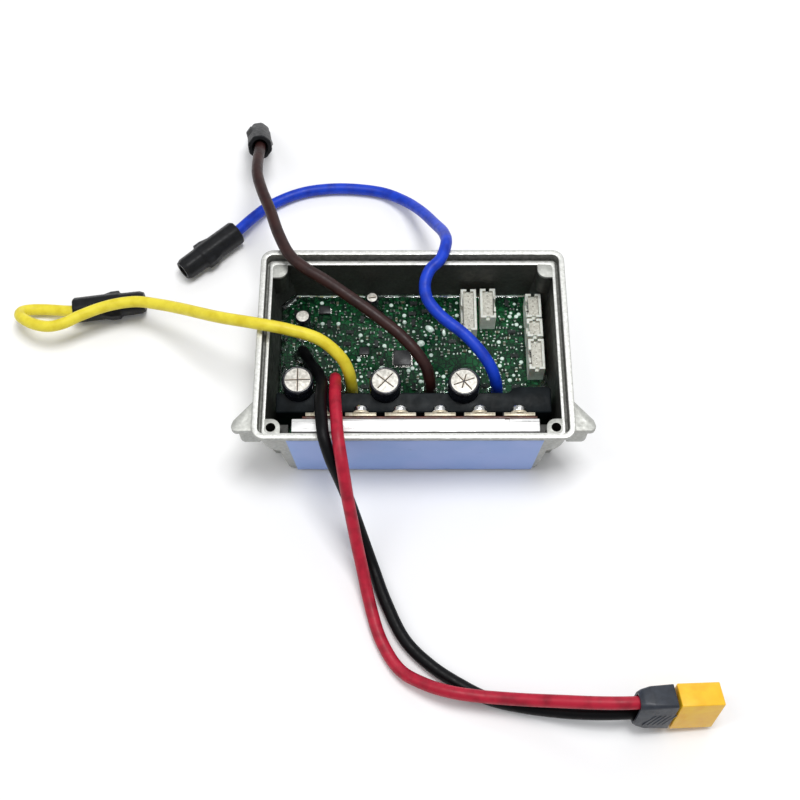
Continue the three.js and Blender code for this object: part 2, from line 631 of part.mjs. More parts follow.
// The clear gel over the rest of the board, open round everything that stands in it.
function makeClearResin() {
  const z0 = boardPartBottom;
  const z1 = z0 + RESIN_THICK;
  const half = BOARD_HALF_W - GAP;
  const outline = new THREE.Shape();
  outline.moveTo(-half, POTTING_BACK + GAP);
  outline.lineTo(33.6, POTTING_BACK + GAP);
  outline.lineTo(36.8, POTTING_CORNER_BACK + 0.4);
  outline.lineTo(half, POTTING_CORNER_BACK + 0.4);
  outline.lineTo(half, BOARD_BACK - 6.5);
  outline.lineTo(half - 6, BOARD_BACK - 0.4);
  outline.lineTo(-half + 6, BOARD_BACK - 0.4);
  outline.lineTo(-half, BOARD_BACK - 6.5);
  const caps = [
    ...holesRound(bigCaps, BIG_CAP_RADIUS + GAP, z0 - 1, z1 + 1),
    ...smallCaps.map(([x, y, r]) => post(x, y, z0 - 1, z1 + 1, r + GAP, 20)),
  ];
  const sockets = headers.map(([, x, y, pins]) => {
    const halfL = headerHalfLength(pins) + GAP;
    const halfW = HEADER_W / 2 + GAP;
    return block(x - halfW, x + halfW, y - halfL, y + halfL, z0 - 1, z1 + 1);
  });
  const chipWells = chips.map(([, x, y, w, l]) => block(
    x - w / 2 - GAP, x + w / 2 + GAP, y - l / 2 - GAP, y + l / 2 + GAP, z0 - 1, z1 + 1));
  const roots = Object.values(routes).map(([[x, y]]) => post(
    x, y, z0 - 1, z1 + 1, WIRE_DIAMETER / 2 + 2 * GAP, 16));
  return cut(slab(outline, z0, z1), [...caps, ...sockets, ...chipWells, ...roots]);
}

addPart('clear_resin', makeClearResin(), 0x2f7a55, 0.05, 0);

function makeBoard() {
  const outline = new THREE.Shape();
  outline.moveTo(-BOARD_HALF_W, BOARD_FRONT);
  outline.lineTo(BOARD_HALF_W, BOARD_FRONT);
  outline.lineTo(BOARD_HALF_W, BOARD_BACK - 6);
  outline.lineTo(BOARD_HALF_W - 6, BOARD_BACK);
  outline.lineTo(-BOARD_HALF_W + 6, BOARD_BACK);
  outline.lineTo(-BOARD_HALF_W, BOARD_BACK - 6);
  return slab(outline, BOARD_TOP - BOARD_THICK, BOARD_TOP);
}

addPart('main_board', makeBoard(), 0x145a37, 0.4, 0);

// ---------------------------------------------------------------- phase plugs

// Along +X: socket end with the wire, latch bumps in the middle, nose with its metal contact.
function makePlugBody() {
  const profile = [
    [0, 0], [4.6, 0], [5, 0.6], [5, 15], [4.2, 17], [4.2, 26], [3.6, PLUG_LENGTH],
    [0, PLUG_LENGTH],
  ];
  const geometry = new THREE.LatheGeometry(profile.map(([r, x]) => new THREE.Vector2(r, x)), 8);
  geometry.rotateY(Math.PI / 8);
  geometry.rotateZ(-Math.PI / 2);
  const latch = block(...LATCH_X, -LATCH_HALF_SPAN, LATCH_HALF_SPAN, -2.4, 2.4);
  return cut(join([toSolid(geometry), latch]), [
    longPost(0, 0, -1, PLUG_WEB[0], PLUG_BORE_RADIUS, 12),
    longPost(0, 0, PLUG_WEB[1], PLUG_LENGTH + 1, PLUG_BORE_RADIUS, 12),
  ]);
}

// A bullet contact, hollow at its mouth.
function makeContact() {
  const outside = longPost(0, 0, PLUG_WEB[1] + 0.4, PLUG_LENGTH - 1.5, 2.1, 12);
  return outside.subtract(longPost(0, 0, 17, PLUG_LENGTH, 1.5, 12));
}

const plugPlaces = {
  yellow: { at: [-129.6, 28.3, 5.2], towards: [0.99, 0.141, 0] },
  brown: { at: [-60, 93.4, 20.8], towards: [-0.12, 0.775, -0.62] },
  blue: { at: [-69.4, 64.1, 5.2], towards: [-0.74, -0.673, 0] },
};

Object.entries(plugPlaces).forEach(([color, { at, towards }]) => {
  const holder = new THREE.Group();
  holder.position.set(...at);
  holder.quaternion.setFromUnitVectors(
    new THREE.Vector3(1, 0, 0), new THREE.Vector3(...towards).normalize());
  model.add(holder);
  addPart(`phase_plug_${color}`, makePlugBody(), 0x232124, 0.55, 0, holder);
  addPart(`phase_contact_${color}`, makeContact(), 0xc9a24a, 0.3, 0.95, holder);
});

// ---------------------------------------------------------------- battery plug

// It lies on its narrow side, leaning back a little and propped by its two leads.
const batteryPlug = new THREE.Group();
batteryPlug.position.set(90.9, -122, 9.8);
batteryPlug.rotation.set(
  THREE.MathUtils.degToRad(-15), THREE.MathUtils.degToRad(7), THREE.MathUtils.degToRad(3.5),
  'ZYX');
model.add(batteryPlug);

function makePlugShell() {
  const { length, thick, tall, wall, pinZ } = BATTERY_PLUG;
  const halfL = length / 2;
  const halfT = thick / 2;
  const halfH = tall / 2;
  const body = block(-halfL, halfL, -halfT, halfT, -halfH, halfH);
  const well = block(-1, halfL + 1, wall - halfT, halfT - wall, wall - halfH, halfH - wall);
  const bores = [pinZ, -pinZ].map((z) => longPost(0, z, -halfL - 1, 0, 2.1, 12));
  return cut(body, [well, ...bores]);
}

function makePlugSheath() {
  const { length, thick, tall } = BATTERY_PLUG;
  const front = -length / 2 - GAP;
  const rear = front - SHEATH.length;
  const halfT = thick / 2 + SHEATH.margin;
  const halfH = tall / 2 + SHEATH.margin;
  const outline = roundedOutline(rear, front, -halfH, halfH, 1);
  const geometry = new THREE.ExtrudeGeometry(outline, {
    depth: 2 * halfT, bevelEnabled: false, curveSegments: 3,
  });
  geometry.translate(0, 0, -halfT);
  geometry.rotateX(Math.PI / 2);
  const bore = block(
    rear - 1, front + 1, SHEATH.wall - halfT, halfT - SHEATH.wall,
    SHEATH.wall - halfH, halfH - SHEATH.wall);
  return toSolid(geometry).subtract(bore);
}

addPart('battery_plug_shell', makePlugShell(), 0xf2b62c, 0.4, 0, batteryPlug);
addPart('battery_plug_sheath', makePlugSheath(), 0x3c424c, 0.5, 0, batteryPlug);
[['positive', 1], ['negative', -1]].forEach(([name, side]) => {
  const { pinZ, pinRadius } = BATTERY_PLUG;
  const pin = longPost(0, side * pinZ, -9.5, 5.5, pinRadius, 12);
  addPart(`battery_pin_${name}`, pin, 0xd8b052, 0.3, 0.95, batteryPlug);
});

export default model;
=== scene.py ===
# The finished looks of an open electronic speed controller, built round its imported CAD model.
# Meshes are made in millimetres, in the CAD frame, and scaled to metres as they are finished.
# Routes, lengths and lights are in metres.
import random
from math import copysign, cos, hypot, pi, radians, sin

import bmesh
import bpy
import numpy as np
from mathutils import Euler, Matrix, Vector


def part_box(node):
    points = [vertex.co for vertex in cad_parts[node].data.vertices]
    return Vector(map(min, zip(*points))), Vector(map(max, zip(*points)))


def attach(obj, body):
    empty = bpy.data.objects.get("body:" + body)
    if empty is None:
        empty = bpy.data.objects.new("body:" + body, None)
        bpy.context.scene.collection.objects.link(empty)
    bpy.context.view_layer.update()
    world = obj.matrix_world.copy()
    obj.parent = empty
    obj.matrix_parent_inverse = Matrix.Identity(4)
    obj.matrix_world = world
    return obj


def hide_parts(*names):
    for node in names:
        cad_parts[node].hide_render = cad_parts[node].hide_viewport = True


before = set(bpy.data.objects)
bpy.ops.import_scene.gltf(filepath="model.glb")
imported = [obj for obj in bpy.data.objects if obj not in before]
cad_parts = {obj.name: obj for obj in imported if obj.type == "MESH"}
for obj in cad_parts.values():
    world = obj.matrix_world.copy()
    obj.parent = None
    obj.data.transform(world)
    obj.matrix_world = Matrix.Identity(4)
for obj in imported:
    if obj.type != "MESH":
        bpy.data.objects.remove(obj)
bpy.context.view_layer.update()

MM = 0.001
RANDOM = random.Random(7)


def node_box(node):
    """Lowest and highest corner of a CAD node, in millimetres."""
    low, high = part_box(node)
    return Vector(low) / MM, Vector(high) / MM


def centre_of(node):
    """A CAD node's middle in X and Y, and half its width."""
    low, high = node_box(node)
    return (low.x + high.x) / 2, (low.y + high.y) / 2, (high.x - low.x) / 2


# ---- camera and light

TARGET = Vector((-0.00457, -0.02317, 0.033))
DISTANCE = 0.4004
ELEVATION = radians(64.51)
AZIMUTH = radians(0.35)
ROLL = radians(-0.38)
LENS = 52.5


def add_object(name, data):
    obj = bpy.data.objects.new(name, data)
    bpy.context.collection.objects.link(obj)
    return obj


def make_camera():
    back = Vector((
        sin(AZIMUTH) * cos(ELEVATION),
        -cos(AZIMUTH) * cos(ELEVATION),
        sin(ELEVATION)))
    data = bpy.data.cameras.new("camera")
    data.lens = LENS
    data.sensor_width = 36
    data.clip_start = 0.01
    data.clip_end = 50
    camera = add_object("camera", data)
    upright = back.to_track_quat("Z", "Y").to_matrix()
    roll = Matrix.Rotation(ROLL, 3, "Z")
    camera.matrix_world = Matrix.Translation(TARGET + back * DISTANCE) @ (upright @ roll).to_4x4()
    bpy.context.scene.camera = camera


def add_light(name, place, aim, size, watts, color=(1, 1, 1)):
    data = bpy.data.lights.new(name, "AREA")
    data.shape = "RECTANGLE"
    data.size, data.size_y = size
    data.energy = watts
    data.color = color
    light = add_object(name, data)
    light.location = place
    light.rotation_euler = (Vector(place) - Vector(aim)).to_track_quat("Z", "Y").to_euler()


def light_studio():
    world = bpy.data.worlds.new("studio")
    bpy.context.scene.world = world
    world.use_nodes = True
    background = world.node_tree.nodes["Background"]
    background.inputs["Color"].default_value = (0.97, 0.98, 1, 1)
    background.inputs["Strength"].default_value = 0.46
    add_light("overhead", (0.12, 0.1, 1.05), (0, 0, 0), (0.4, 0.4), 7.0)
    add_light("rear", (0.35, 1.0, 0.6), (0, 0, 0), (0.8, 0.2), 1.6)
    add_light("window", (-0.5, -0.1, 0.8), (0, 0, 0), (0.15, 0.6), 1.2)
    bpy.context.scene.view_settings.view_transform = "Standard"


make_camera()
light_studio()


# ---- materials

def srgb(red, green, blue):
    """A display colour from 0 to 255 as a linear one."""
    shares = [c / 255 for c in (red, green, blue)]
    return (*[c / 12.92 if c <= 0.04045 else ((c + 0.055) / 1.055) ** 2.4 for c in shares], 1)


class Surface:
    """A Principled material whose colour, roughness and relief vary. Colours run from 0 to 255."""

    def __init__(self, name, color, roughness, metallic=0.0, **constants):
        self.material = bpy.data.materials.new(name)
        self.material.use_nodes = True
        self.tree = self.material.node_tree
        self.shader = self.tree.nodes["Principled BSDF"]
        self.coords = self.add("ShaderNodeTexCoord", {}).outputs["Object"]
        self.shader.inputs["Base Color"].default_value = srgb(*color)
        self.shader.inputs["Roughness"].default_value = roughness
        self.shader.inputs["Metallic"].default_value = metallic
        for key, value in constants.items():
            self.shader.inputs[key.replace("_", " ")].default_value = value

    def add(self, kind, inputs, **settings):
        """A new node. Each of its inputs gets a value or another node's output."""
        node = self.tree.nodes.new(kind)
        for key, value in settings.items():
            setattr(node, key, value)
        for key, value in inputs.items():
            if isinstance(value, bpy.types.NodeSocket):
                self.link(value, node.inputs[key])
            else:
                node.inputs[key].default_value = value
        return node

    def link(self, source, target):
        self.tree.links.new(source, target)

    def noise(self, size, detail=3, stretch=(1, 1, 1)):
        """A noise from 0 to 1 whose features are about size millimetres."""
        mapping = self.add("ShaderNodeMapping", {"Scale": stretch, "Vector": self.coords})
        node = self.add("ShaderNodeTexNoise", {
            "Scale": 1 / (size * MM), "Detail": detail, "Vector": mapping.outputs["Vector"]})
        return node.outputs["Fac"]

    def cells(self, size):
        """The distance to the nearest edge of a net of cells about size millimetres wide."""
        node = self.add(
            "ShaderNodeTexVoronoi", {"Scale": 1 / (size * MM), "Vector": self.coords},
            feature="DISTANCE_TO_EDGE")
        return node.outputs["Distance"]

    def between(self, value, low, high, to_low=0.0, to_high=1.0):
        """Maps value from low..high to to_low..to_high, held inside that range."""
        node = self.add("ShaderNodeMapRange", {
            "From Min": low, "From Max": high, "To Min": to_low, "To Max": to_high, "Value": value})
        return node.outputs["Result"]

    def tint(self, value, limits, color):
        """Blends color over what the surface has so far, more and more as value crosses the limits."""
        base = self.shader.inputs["Base Color"]
        under = base.links[0].from_socket if base.is_linked else base.default_value[:]
        mix = self.add(
            "ShaderNodeMix", {"Factor": self.between(value, *limits), "A": under, "B": srgb(*color)},
            data_type="RGBA")
        self.link(mix.outputs["Result"], base)

    def polish(self, value, low, high):
        """Lets the roughness run from low to high with value."""
        self.link(self.between(value, 0.3, 0.7, low, high), self.shader.inputs["Roughness"])

    def relief(self, height, depth):
        """Adds bump of depth millimetres."""
        bump = self.add("ShaderNodeBump", {"Strength": 1, "Distance": depth * MM, "Height": height})
        normal = self.shader.inputs["Normal"]
        if normal.is_linked:
            self.link(normal.links[0].from_socket, bump.inputs["Normal"])
        self.link(bump.outputs["Normal"], normal)


def cast_surface(name, color, pale, dark, metallic, roughness):
    s = Surface(name, color, roughness, metallic)
    s.tint(s.noise(1.1, 6), (0.36, 0.70), pale)
    s.tint(s.noise(0.4, 3), (0.62, 0.82), dark)
    s.polish(s.noise(2.5), roughness - 0.1, roughness + 0.15)
    s.relief(s.noise(0.5, 4), 0.06)
    return s.material


def moulded_surface(name, color, other, roughness, blotch=3.0, grain=0.25, depth=0.02, **constants):
    """Moulded plastic: a soft blotch of a second colour and a fine grain."""
    s = Surface(name, color, roughness, 0, **constants)
    s.tint(s.noise(blotch), (0.35, 0.68), other)
    s.polish(s.noise(blotch * 0.6), roughness - 0.07, roughness + 0.1)
    s.relief(s.noise(grain, 4), depth)
    return s.material


def metal_surface(name, color, other, roughness, brush=(1, 1, 1), size=0.5, metallic=1.0):
    s = Surface(name, color, roughness, metallic)
    s.tint(s.noise(size, 4, brush), (0.4, 0.65), other)
    s.polish(s.noise(size, 4, brush), roughness - 0.08, roughness + 0.12)
    s.relief(s.noise(size * 0.4, 3, brush), 0.012)
    return s.material


def sleeve_surface(name, color, shade, roughness=0.42, gloss=0.3):
    """Silicone sleeve: satin, faintly uneven along its length."""
    s = Surface(name, color, roughness, 0, Specular_IOR_Level=gloss)
    s.tint(s.noise(4.5, 4), (0.42, 0.7), shade)
    s.polish(s.noise(1.6), roughness - 0.06, roughness + 0.12)
    s.relief(s.noise(1.8, 3), 0.06)
    s.relief(s.noise(0.2, 2), 0.012)
    return s.material


def board_surface():
    s = Surface("board_mask", (6, 64, 34), 0.4, 0, Specular_IOR_Level=0.12)
    s.tint(s.noise(7, 2), (0.45, 0.6), (18, 90, 50))
    s.tint(s.cells(2.3), (0.05, 0.11, 1, 0), (4, 34, 22))
    s.tint(s.noise(0.9, 1, (1, 0.25, 1)), (0.58, 0.62), (4, 34, 22))
    s.tint(s.noise(0.7, 1, (0.3, 1, 1)), (0.66, 0.70), (44, 116, 76))
    s.relief(s.noise(0.6, 2), 0.03)
    return s.material


def clear_surface(name, tint, wave, ripple, ior):
    """A clear gel: see-through face on, mirror-like at a glance, with ripples on it."""
    s = Surface(name, (255, 255, 255), 0.05, 1)
    s.relief(s.noise(wave, 2), ripple)
    through = s.add("ShaderNodeBsdfTransparent", {"Color": srgb(*tint)})
    waves = s.shader.inputs["Normal"].links[0].from_socket
    fresnel = s.add("ShaderNodeFresnel", {"IOR": ior, "Normal": waves})
    mix = s.add("ShaderNodeMixShader", {
        "Fac": fresnel.outputs["Fac"], 1: through.outputs["BSDF"], 2: s.shader.outputs["BSDF"]})
    s.link(mix.outputs["Shader"], s.tree.nodes["Material Output"].inputs["Surface"])
    return s.material


def pad_surface():
    s = Surface("gap_pad", (144, 172, 228), 0.62, 0, Sheen_Weight=0.1)
    s.tint(s.noise(22, 3), (0.4, 0.65), (156, 178, 232))
    s.tint(s.noise(4, 5, (0.4, 1, 1.6)), (0.68, 0.78), (112, 132, 192))
    s.relief(s.noise(6, 3), 0.2)
    s.relief(s.noise(0.3), 0.02)
    return s.material


def bar_surface():
    s = Surface("milled_bar", (236, 236, 235), 0.34, 0.55)
    s.tint(s.noise(0.5, 3, (0.08, 1, 1)), (0.62, 0.74), (178, 178, 176))
    s.tint(s.noise(1.6, 4), (0.70, 0.76), (96, 92, 90))
    s.polish(s.noise(0.6, 3, (0.1, 1, 1)), 0.26, 0.5)
    s.relief(s.noise(0.25, 3, (0.06, 1, 1)), 0.012)
    return s.material


def well_surface():
    """The pale, mottled bottom of a header's well."""
    s = Surface("header_well", (206, 205, 194), 0.5)
    s.tint(s.noise(0.9, 4), (0.45, 0.6), (184, 182, 170))
    s.tint(s.noise(0.5, 3), (0.62, 0.70), (112, 108, 98))
    s.relief(s.noise(0.6, 3), 0.12)
    return s.material


def floor_surface():
    s = Surface("paper", (248, 248, 248), 0.85)
    s.tint(s.noise(90, 2), (0.3, 0.7), (245, 245, 246))
    s.relief(s.noise(1.5, 3), 0.03)
    return s.material


MATERIALS = {
    "cast": cast_surface("cast_aluminium", (166, 167, 162), (186, 187, 182), (138, 139, 135), 0.55, 0.52),
    "machined": cast_surface("machined_rim", (198, 199, 194), (226, 226, 223), (140, 141, 138), 0.6, 0.42),
    # The tub's inner walls, screw columns, bores and recess walls: the cast finish darkened as painted shade.
    "cast_shaded_inside": cast_surface("cast_shaded_inside", (44, 46, 43), (60, 60, 55), (24, 27, 25), 0.2, 0.5),
    # The seal groove's walls and floor: the cast finish darkened as painted shade.
    "cast_shaded_step": cast_surface("cast_shaded_step", (98, 99, 95), (132, 132, 127), (64, 65, 62), 0.4, 0.5),
    "pad": pad_surface(),
    "bar": bar_surface(),
    "film": moulded_surface("film", (58, 24, 14), (92, 44, 26), 0.4, 2.0),
    "epoxy": moulded_surface("epoxy", (15, 16, 19), (26, 27, 30), 0.38, 1.2),
    "tab": metal_surface("tab", (162, 153, 132), (182, 176, 160), 0.38, (1, 0.2, 1), 0.6, 0.6),
    "screw": metal_surface("screw_plate", (206, 208, 208), (232, 232, 230), 0.22, size=0.8),
    "washer": metal_surface("washer_plate", (200, 188, 162), (226, 216, 194), 0.34, size=0.7, metallic=0.35),
    "sleeve": moulded_surface(
        "can_sleeve", (16, 17, 24), (26, 28, 38), 0.18, 2.5, 0.8, 0.02, Specular_IOR_Level=0.9),
    "can_top": metal_surface("can_top", (188, 185, 176), (226, 223, 215), 0.36, size=1.1, metallic=0.4),
    "groove": metal_surface("can_groove", (206, 190, 168), (236, 226, 208), 0.35, size=0.4, metallic=0.2),
    "nylon": moulded_surface(
        "header_nylon", (232, 232, 222), (212, 212, 200), 0.42, 1.6, Subsurface_Weight=0.12),
    "well": well_surface(),
    "tin": metal_surface("tin", (206, 204, 198), (236, 235, 230), 0.22, size=0.5),
    # Solder is bright metal; its near-white matte colour is also a painted highlight standing in for its
    # glints.
    "solder": metal_surface("solder", (248, 248, 246), (254, 254, 254), 0.3, size=0.5, metallic=0.0),
    "board": board_surface(),
    "ceramic": moulded_surface("chip_ceramic", (104, 88, 66), (70, 64, 52), 0.4, 0.8),
    "potting": moulded_surface(
        "potting", (15, 19, 21), (27, 32, 35), 0.34, 6.0, 2.0, 0.08, Specular_IOR_Level=0.05),
    "gel": clear_surface("clear_gel", (240, 250, 245), 12, 0.05, 1.26),
    "meniscus": clear_surface("clear_meniscus", (240, 248, 243), 3.0, 0.3, 1.8),
    "plug": moulded_surface(
        "plug_nylon", (15, 16, 18), (25, 26, 29), 0.45, 2.2, 0.3, 0.03, Specular_IOR_Level=0.22),
    "gold": metal_surface("contact_gold", (208, 164, 84), (230, 196, 120), 0.24, size=0.7),
    "amber": moulded_surface(
        "amber_nylon", (250, 196, 44), (244, 180, 30), 0.36, 4.0, Subsurface_Weight=0.08),
    "sheath": moulded_surface("sheath_nylon", (34, 39, 48), (46, 52, 62), 0.42, 2.4, 0.3, 0.03),
    "battery_wire_red": sleeve_surface("sleeve_red", (178, 26, 52), (140, 14, 38)),
    "battery_wire_black": sleeve_surface("sleeve_black", (4, 4, 6), (10, 10, 13), 0.42, 0.15),
    "phase_wire_yellow": sleeve_surface("sleeve_yellow", (232, 216, 62), (214, 194, 40)),
    "phase_wire_brown": sleeve_surface("sleeve_brown", (50, 24, 21), (34, 16, 15)),
    "phase_wire_blue": sleeve_surface("sleeve_blue", (16, 62, 196), (10, 44, 160)),
    "floor": floor_surface(),
}


# ---- mesh making

SMOOTH_ANGLE = radians(38)
CORNER_STEPS = 8
BEND_STEPS = 2


def new_object(name, bm, materials):
    """Turns a mesh made in millimetres into an object in metres, and frees bm."""
    bmesh.ops.recalc_face_normals(bm, faces=bm.faces)
    bmesh.ops.scale(bm, vec=(MM, MM, MM), verts=bm.verts)
    mesh = bpy.data.meshes.new(name)
    bm.to_mesh(mesh)
    bm.free()
    for key in materials:
        mesh.materials.append(MATERIALS[key])
    mesh.shade_smooth()
    mesh.set_sharp_from_angle(angle=SMOOTH_ANGLE)
    return add_object(name, mesh)


def finish_piece(obj, nodes=()):
    """Fastens a piece to the one body, and hides the CAD nodes it stands for."""
    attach(obj, "root")
    if nodes:
        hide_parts(*nodes)
    return obj


def add_piece(name, bm, materials, slot, nodes=()):
    return finish_piece(new_object(name, bm, materials), nodes)


def move(x, y, z=0):
    return Matrix.Translation((x, y, z))


def spin(degrees, axis):
    return Matrix.Rotation(radians(degrees), 4, axis)


def ring(z, radius, sides):
    """The points of a circle about Z."""
    turns = np.arange(sides) / sides * 2 * pi
    return np.stack([radius * np.cos(turns), radius * np.sin(turns), np.full(sides, z)], axis=1)


def corner_ring(x, y0, y1, corner, z, chamfered=False, steps=CORNER_STEPS):
    """A rectangle's points, anticlockwise, with its corners rounded or cut at 45 degrees."""
    points = []
    for sign_x, y, sign_y, start in ((1, y0, -1, -90), (1, y1, 1, 0), (-1, y1, 1, 90), (-1, y0, -1, 180)):
        on_circle = [
            Vector((cos(radians(start + t)), sin(radians(start + t))))
            for t in np.linspace(0, 90, steps + 1)]
        for i, reach in enumerate(on_circle):
            if chamfered:
                reach = on_circle[0].lerp(on_circle[-1], i / steps)
            points.append((
                sign_x * (x - corner) + reach.x * corner, y - sign_y * corner + reach.y * corner, z))
    return np.array(points)


def soften(rings, radius):
    """Rounds the corners of a profile whose points are whole rings."""
    out = [rings[0]]
    for before, here, after in zip(rings, rings[1:], rings[2:]):
        gap_a = np.linalg.norm(before - here, axis=1, keepdims=True)
        gap_b = np.linalg.norm(after - here, axis=1, keepdims=True)
        start = here + (before - here) * np.minimum(radius / np.maximum(gap_a, 1e-6), 0.45)
        end = here + (after - here) * np.minimum(radius / np.maximum(gap_b, 1e-6), 0.45)
        for i in range(BEND_STEPS + 1):
            t = i / BEND_STEPS
            out.append((1 - t) ** 2 * start + 2 * t * (1 - t) * here + t * t * end)
    out.append(rings[-1])
    return out


def loft(bm, rings, mats=0, radius=0.0, closed=False):
    """Joins rings of equally many points into a skin. mats is one index, or one for each span."""
    spans = len(rings) - 1
    indices = [mats] * spans if isinstance(mats, int) else list(mats)
    if radius:
        rings = soften(rings, radius)
        indices = [indices[min(spans - 1, i // (BEND_STEPS + 1))] for i in range(len(rings) - 1)]
    loops = [[bm.verts.new(p) for p in points] for points in rings]
    count = len(loops[0])
    pairs = list(zip(loops, loops[1:], indices))
    if closed:
        pairs.append((loops[-1], loops[0], indices[-1]))
    for low, high, index in pairs:
        for i in range(count):
            j = (i + 1) % count
            bm.faces.new((low[i], low[j], high[j], high[i])).material_index = index
    if not closed:
        bm.faces.new(loops[0][::-1]).material_index = indices[0]
        bm.faces.new(loops[-1]).material_index = indices[-1]
    return [v for loop in loops for v in loop]


def turn(bm, profile, sides=32, mats=0, radius=0.0, place=None, closed=False):
    """Turns a profile of (radius, height) about Z, then puts it at place."""
    verts = loft(bm, [ring(z, r, sides) for r, z in profile], mats, radius, closed)
    if place is not None:
        bmesh.ops.transform(bm, matrix=place, verts=verts)


def add_box(bm, low, high, bevel=0.0, mat=0, place=None, segments=2):
    """A box with rounded edges."""
    part = bmesh.new()
    bmesh.ops.create_cube(part, size=1)
    size = Vector(high) - Vector(low)
    middle = (Vector(high) + Vector(low)) / 2
    bmesh.ops.scale(part, vec=size, verts=part.verts)
    bmesh.ops.translate(part, vec=middle, verts=part.verts)
    if bevel:
        bmesh.ops.bevel(
            part, geom=part.edges[:], offset=bevel, segments=segments, affect="EDGES", profile=0.5)
    merge(bm, part, mat, place)


def add_prism(bm, outline, z0, z1, bevel=0.0, mat=0, place=None, segments=2):
    """An outline of (x, y) points pulled up from z0 to z1, with its sharp edges rounded."""
    part = bmesh.new()
    base = part.faces.new([part.verts.new((x, y, z0)) for x, y in outline])
    grown = bmesh.ops.extrude_face_region(part, geom=[base])
    top = [g for g in grown["geom"] if isinstance(g, bmesh.types.BMVert)]
    bmesh.ops.translate(part, vec=(0, 0, z1 - z0), verts=top)
    bmesh.ops.recalc_face_normals(part, faces=part.faces)
    if bevel:
        sharp = [e for e in part.edges if e.calc_face_angle(0) > radians(28)]
        bmesh.ops.bevel(
            part, geom=sharp, offset=bevel, segments=segments, affect="EDGES", profile=0.5,
            clamp_overlap=True)
    merge(bm, part, mat, place)


def place_mesh(bm, place):
    bmesh.ops.transform(bm, matrix=place, verts=bm.verts)


def fresh(make, *args, **options):
    """A new mesh with one shape made in it."""
    bm = bmesh.new()
    make(bm, *args, **options)
    return bm


def merge(bm, part, mat=0, place=None):
    """Adds the mesh part to bm and frees it."""
    if place is not None:
        place_mesh(part, place)
    twins = {v: bm.verts.new(v.co) for v in part.verts}
    for face in part.faces:
        corners = [twins[v] for v in face.verts]
        if bm.faces.get(corners) is None:
            bm.faces.new(corners).material_index = mat + face.material_index
    part.free()


def modify(obj, kind, **settings):
    """Puts a modifier on obj and applies it."""
    modifier = obj.modifiers.new(kind, kind)
    for key, value in settings.items():
        setattr(modifier, key, value)
    evaluated = obj.evaluated_get(bpy.context.evaluated_depsgraph_get())
    mesh = bpy.data.meshes.new_from_object(evaluated)
    obj.modifiers.clear()
    obj.data = mesh


def cut(bm, *tools):
    """Takes closed meshes away from bm, and gives back what is left, its material indices kept."""
    slots = list(MATERIALS)[:4]
    stock = new_object("stock", bm, slots)
    for tool in tools:
        cutter = new_object("cutter", tool, slots)
        modify(stock, "BOOLEAN", operation="DIFFERENCE", solver="EXACT", object=cutter)
        bpy.data.objects.remove(cutter)
    left = bmesh.new()
    left.from_mesh(stock.data)
    bmesh.ops.scale(left, vec=(1 / MM,) * 3, verts=left.verts)
    bpy.data.objects.remove(stock)
    return left


def rounded_edges(obj, width):
    """Rounds the sharp edges of a finished piece by width millimetres."""
    modify(
        obj, "BEVEL", width=width * MM, segments=2, limit_method="ANGLE", angle_limit=radians(40))


def arc(cx, cy, radius, start, end, steps=8):
    """Points on an arc, its ends in degrees."""
    turns = [radians(start + (end - start) * i / steps) for i in range(steps + 1)]
    return [(cx + radius * cos(t), cy + radius * sin(t)) for t in turns]


# ---- leads

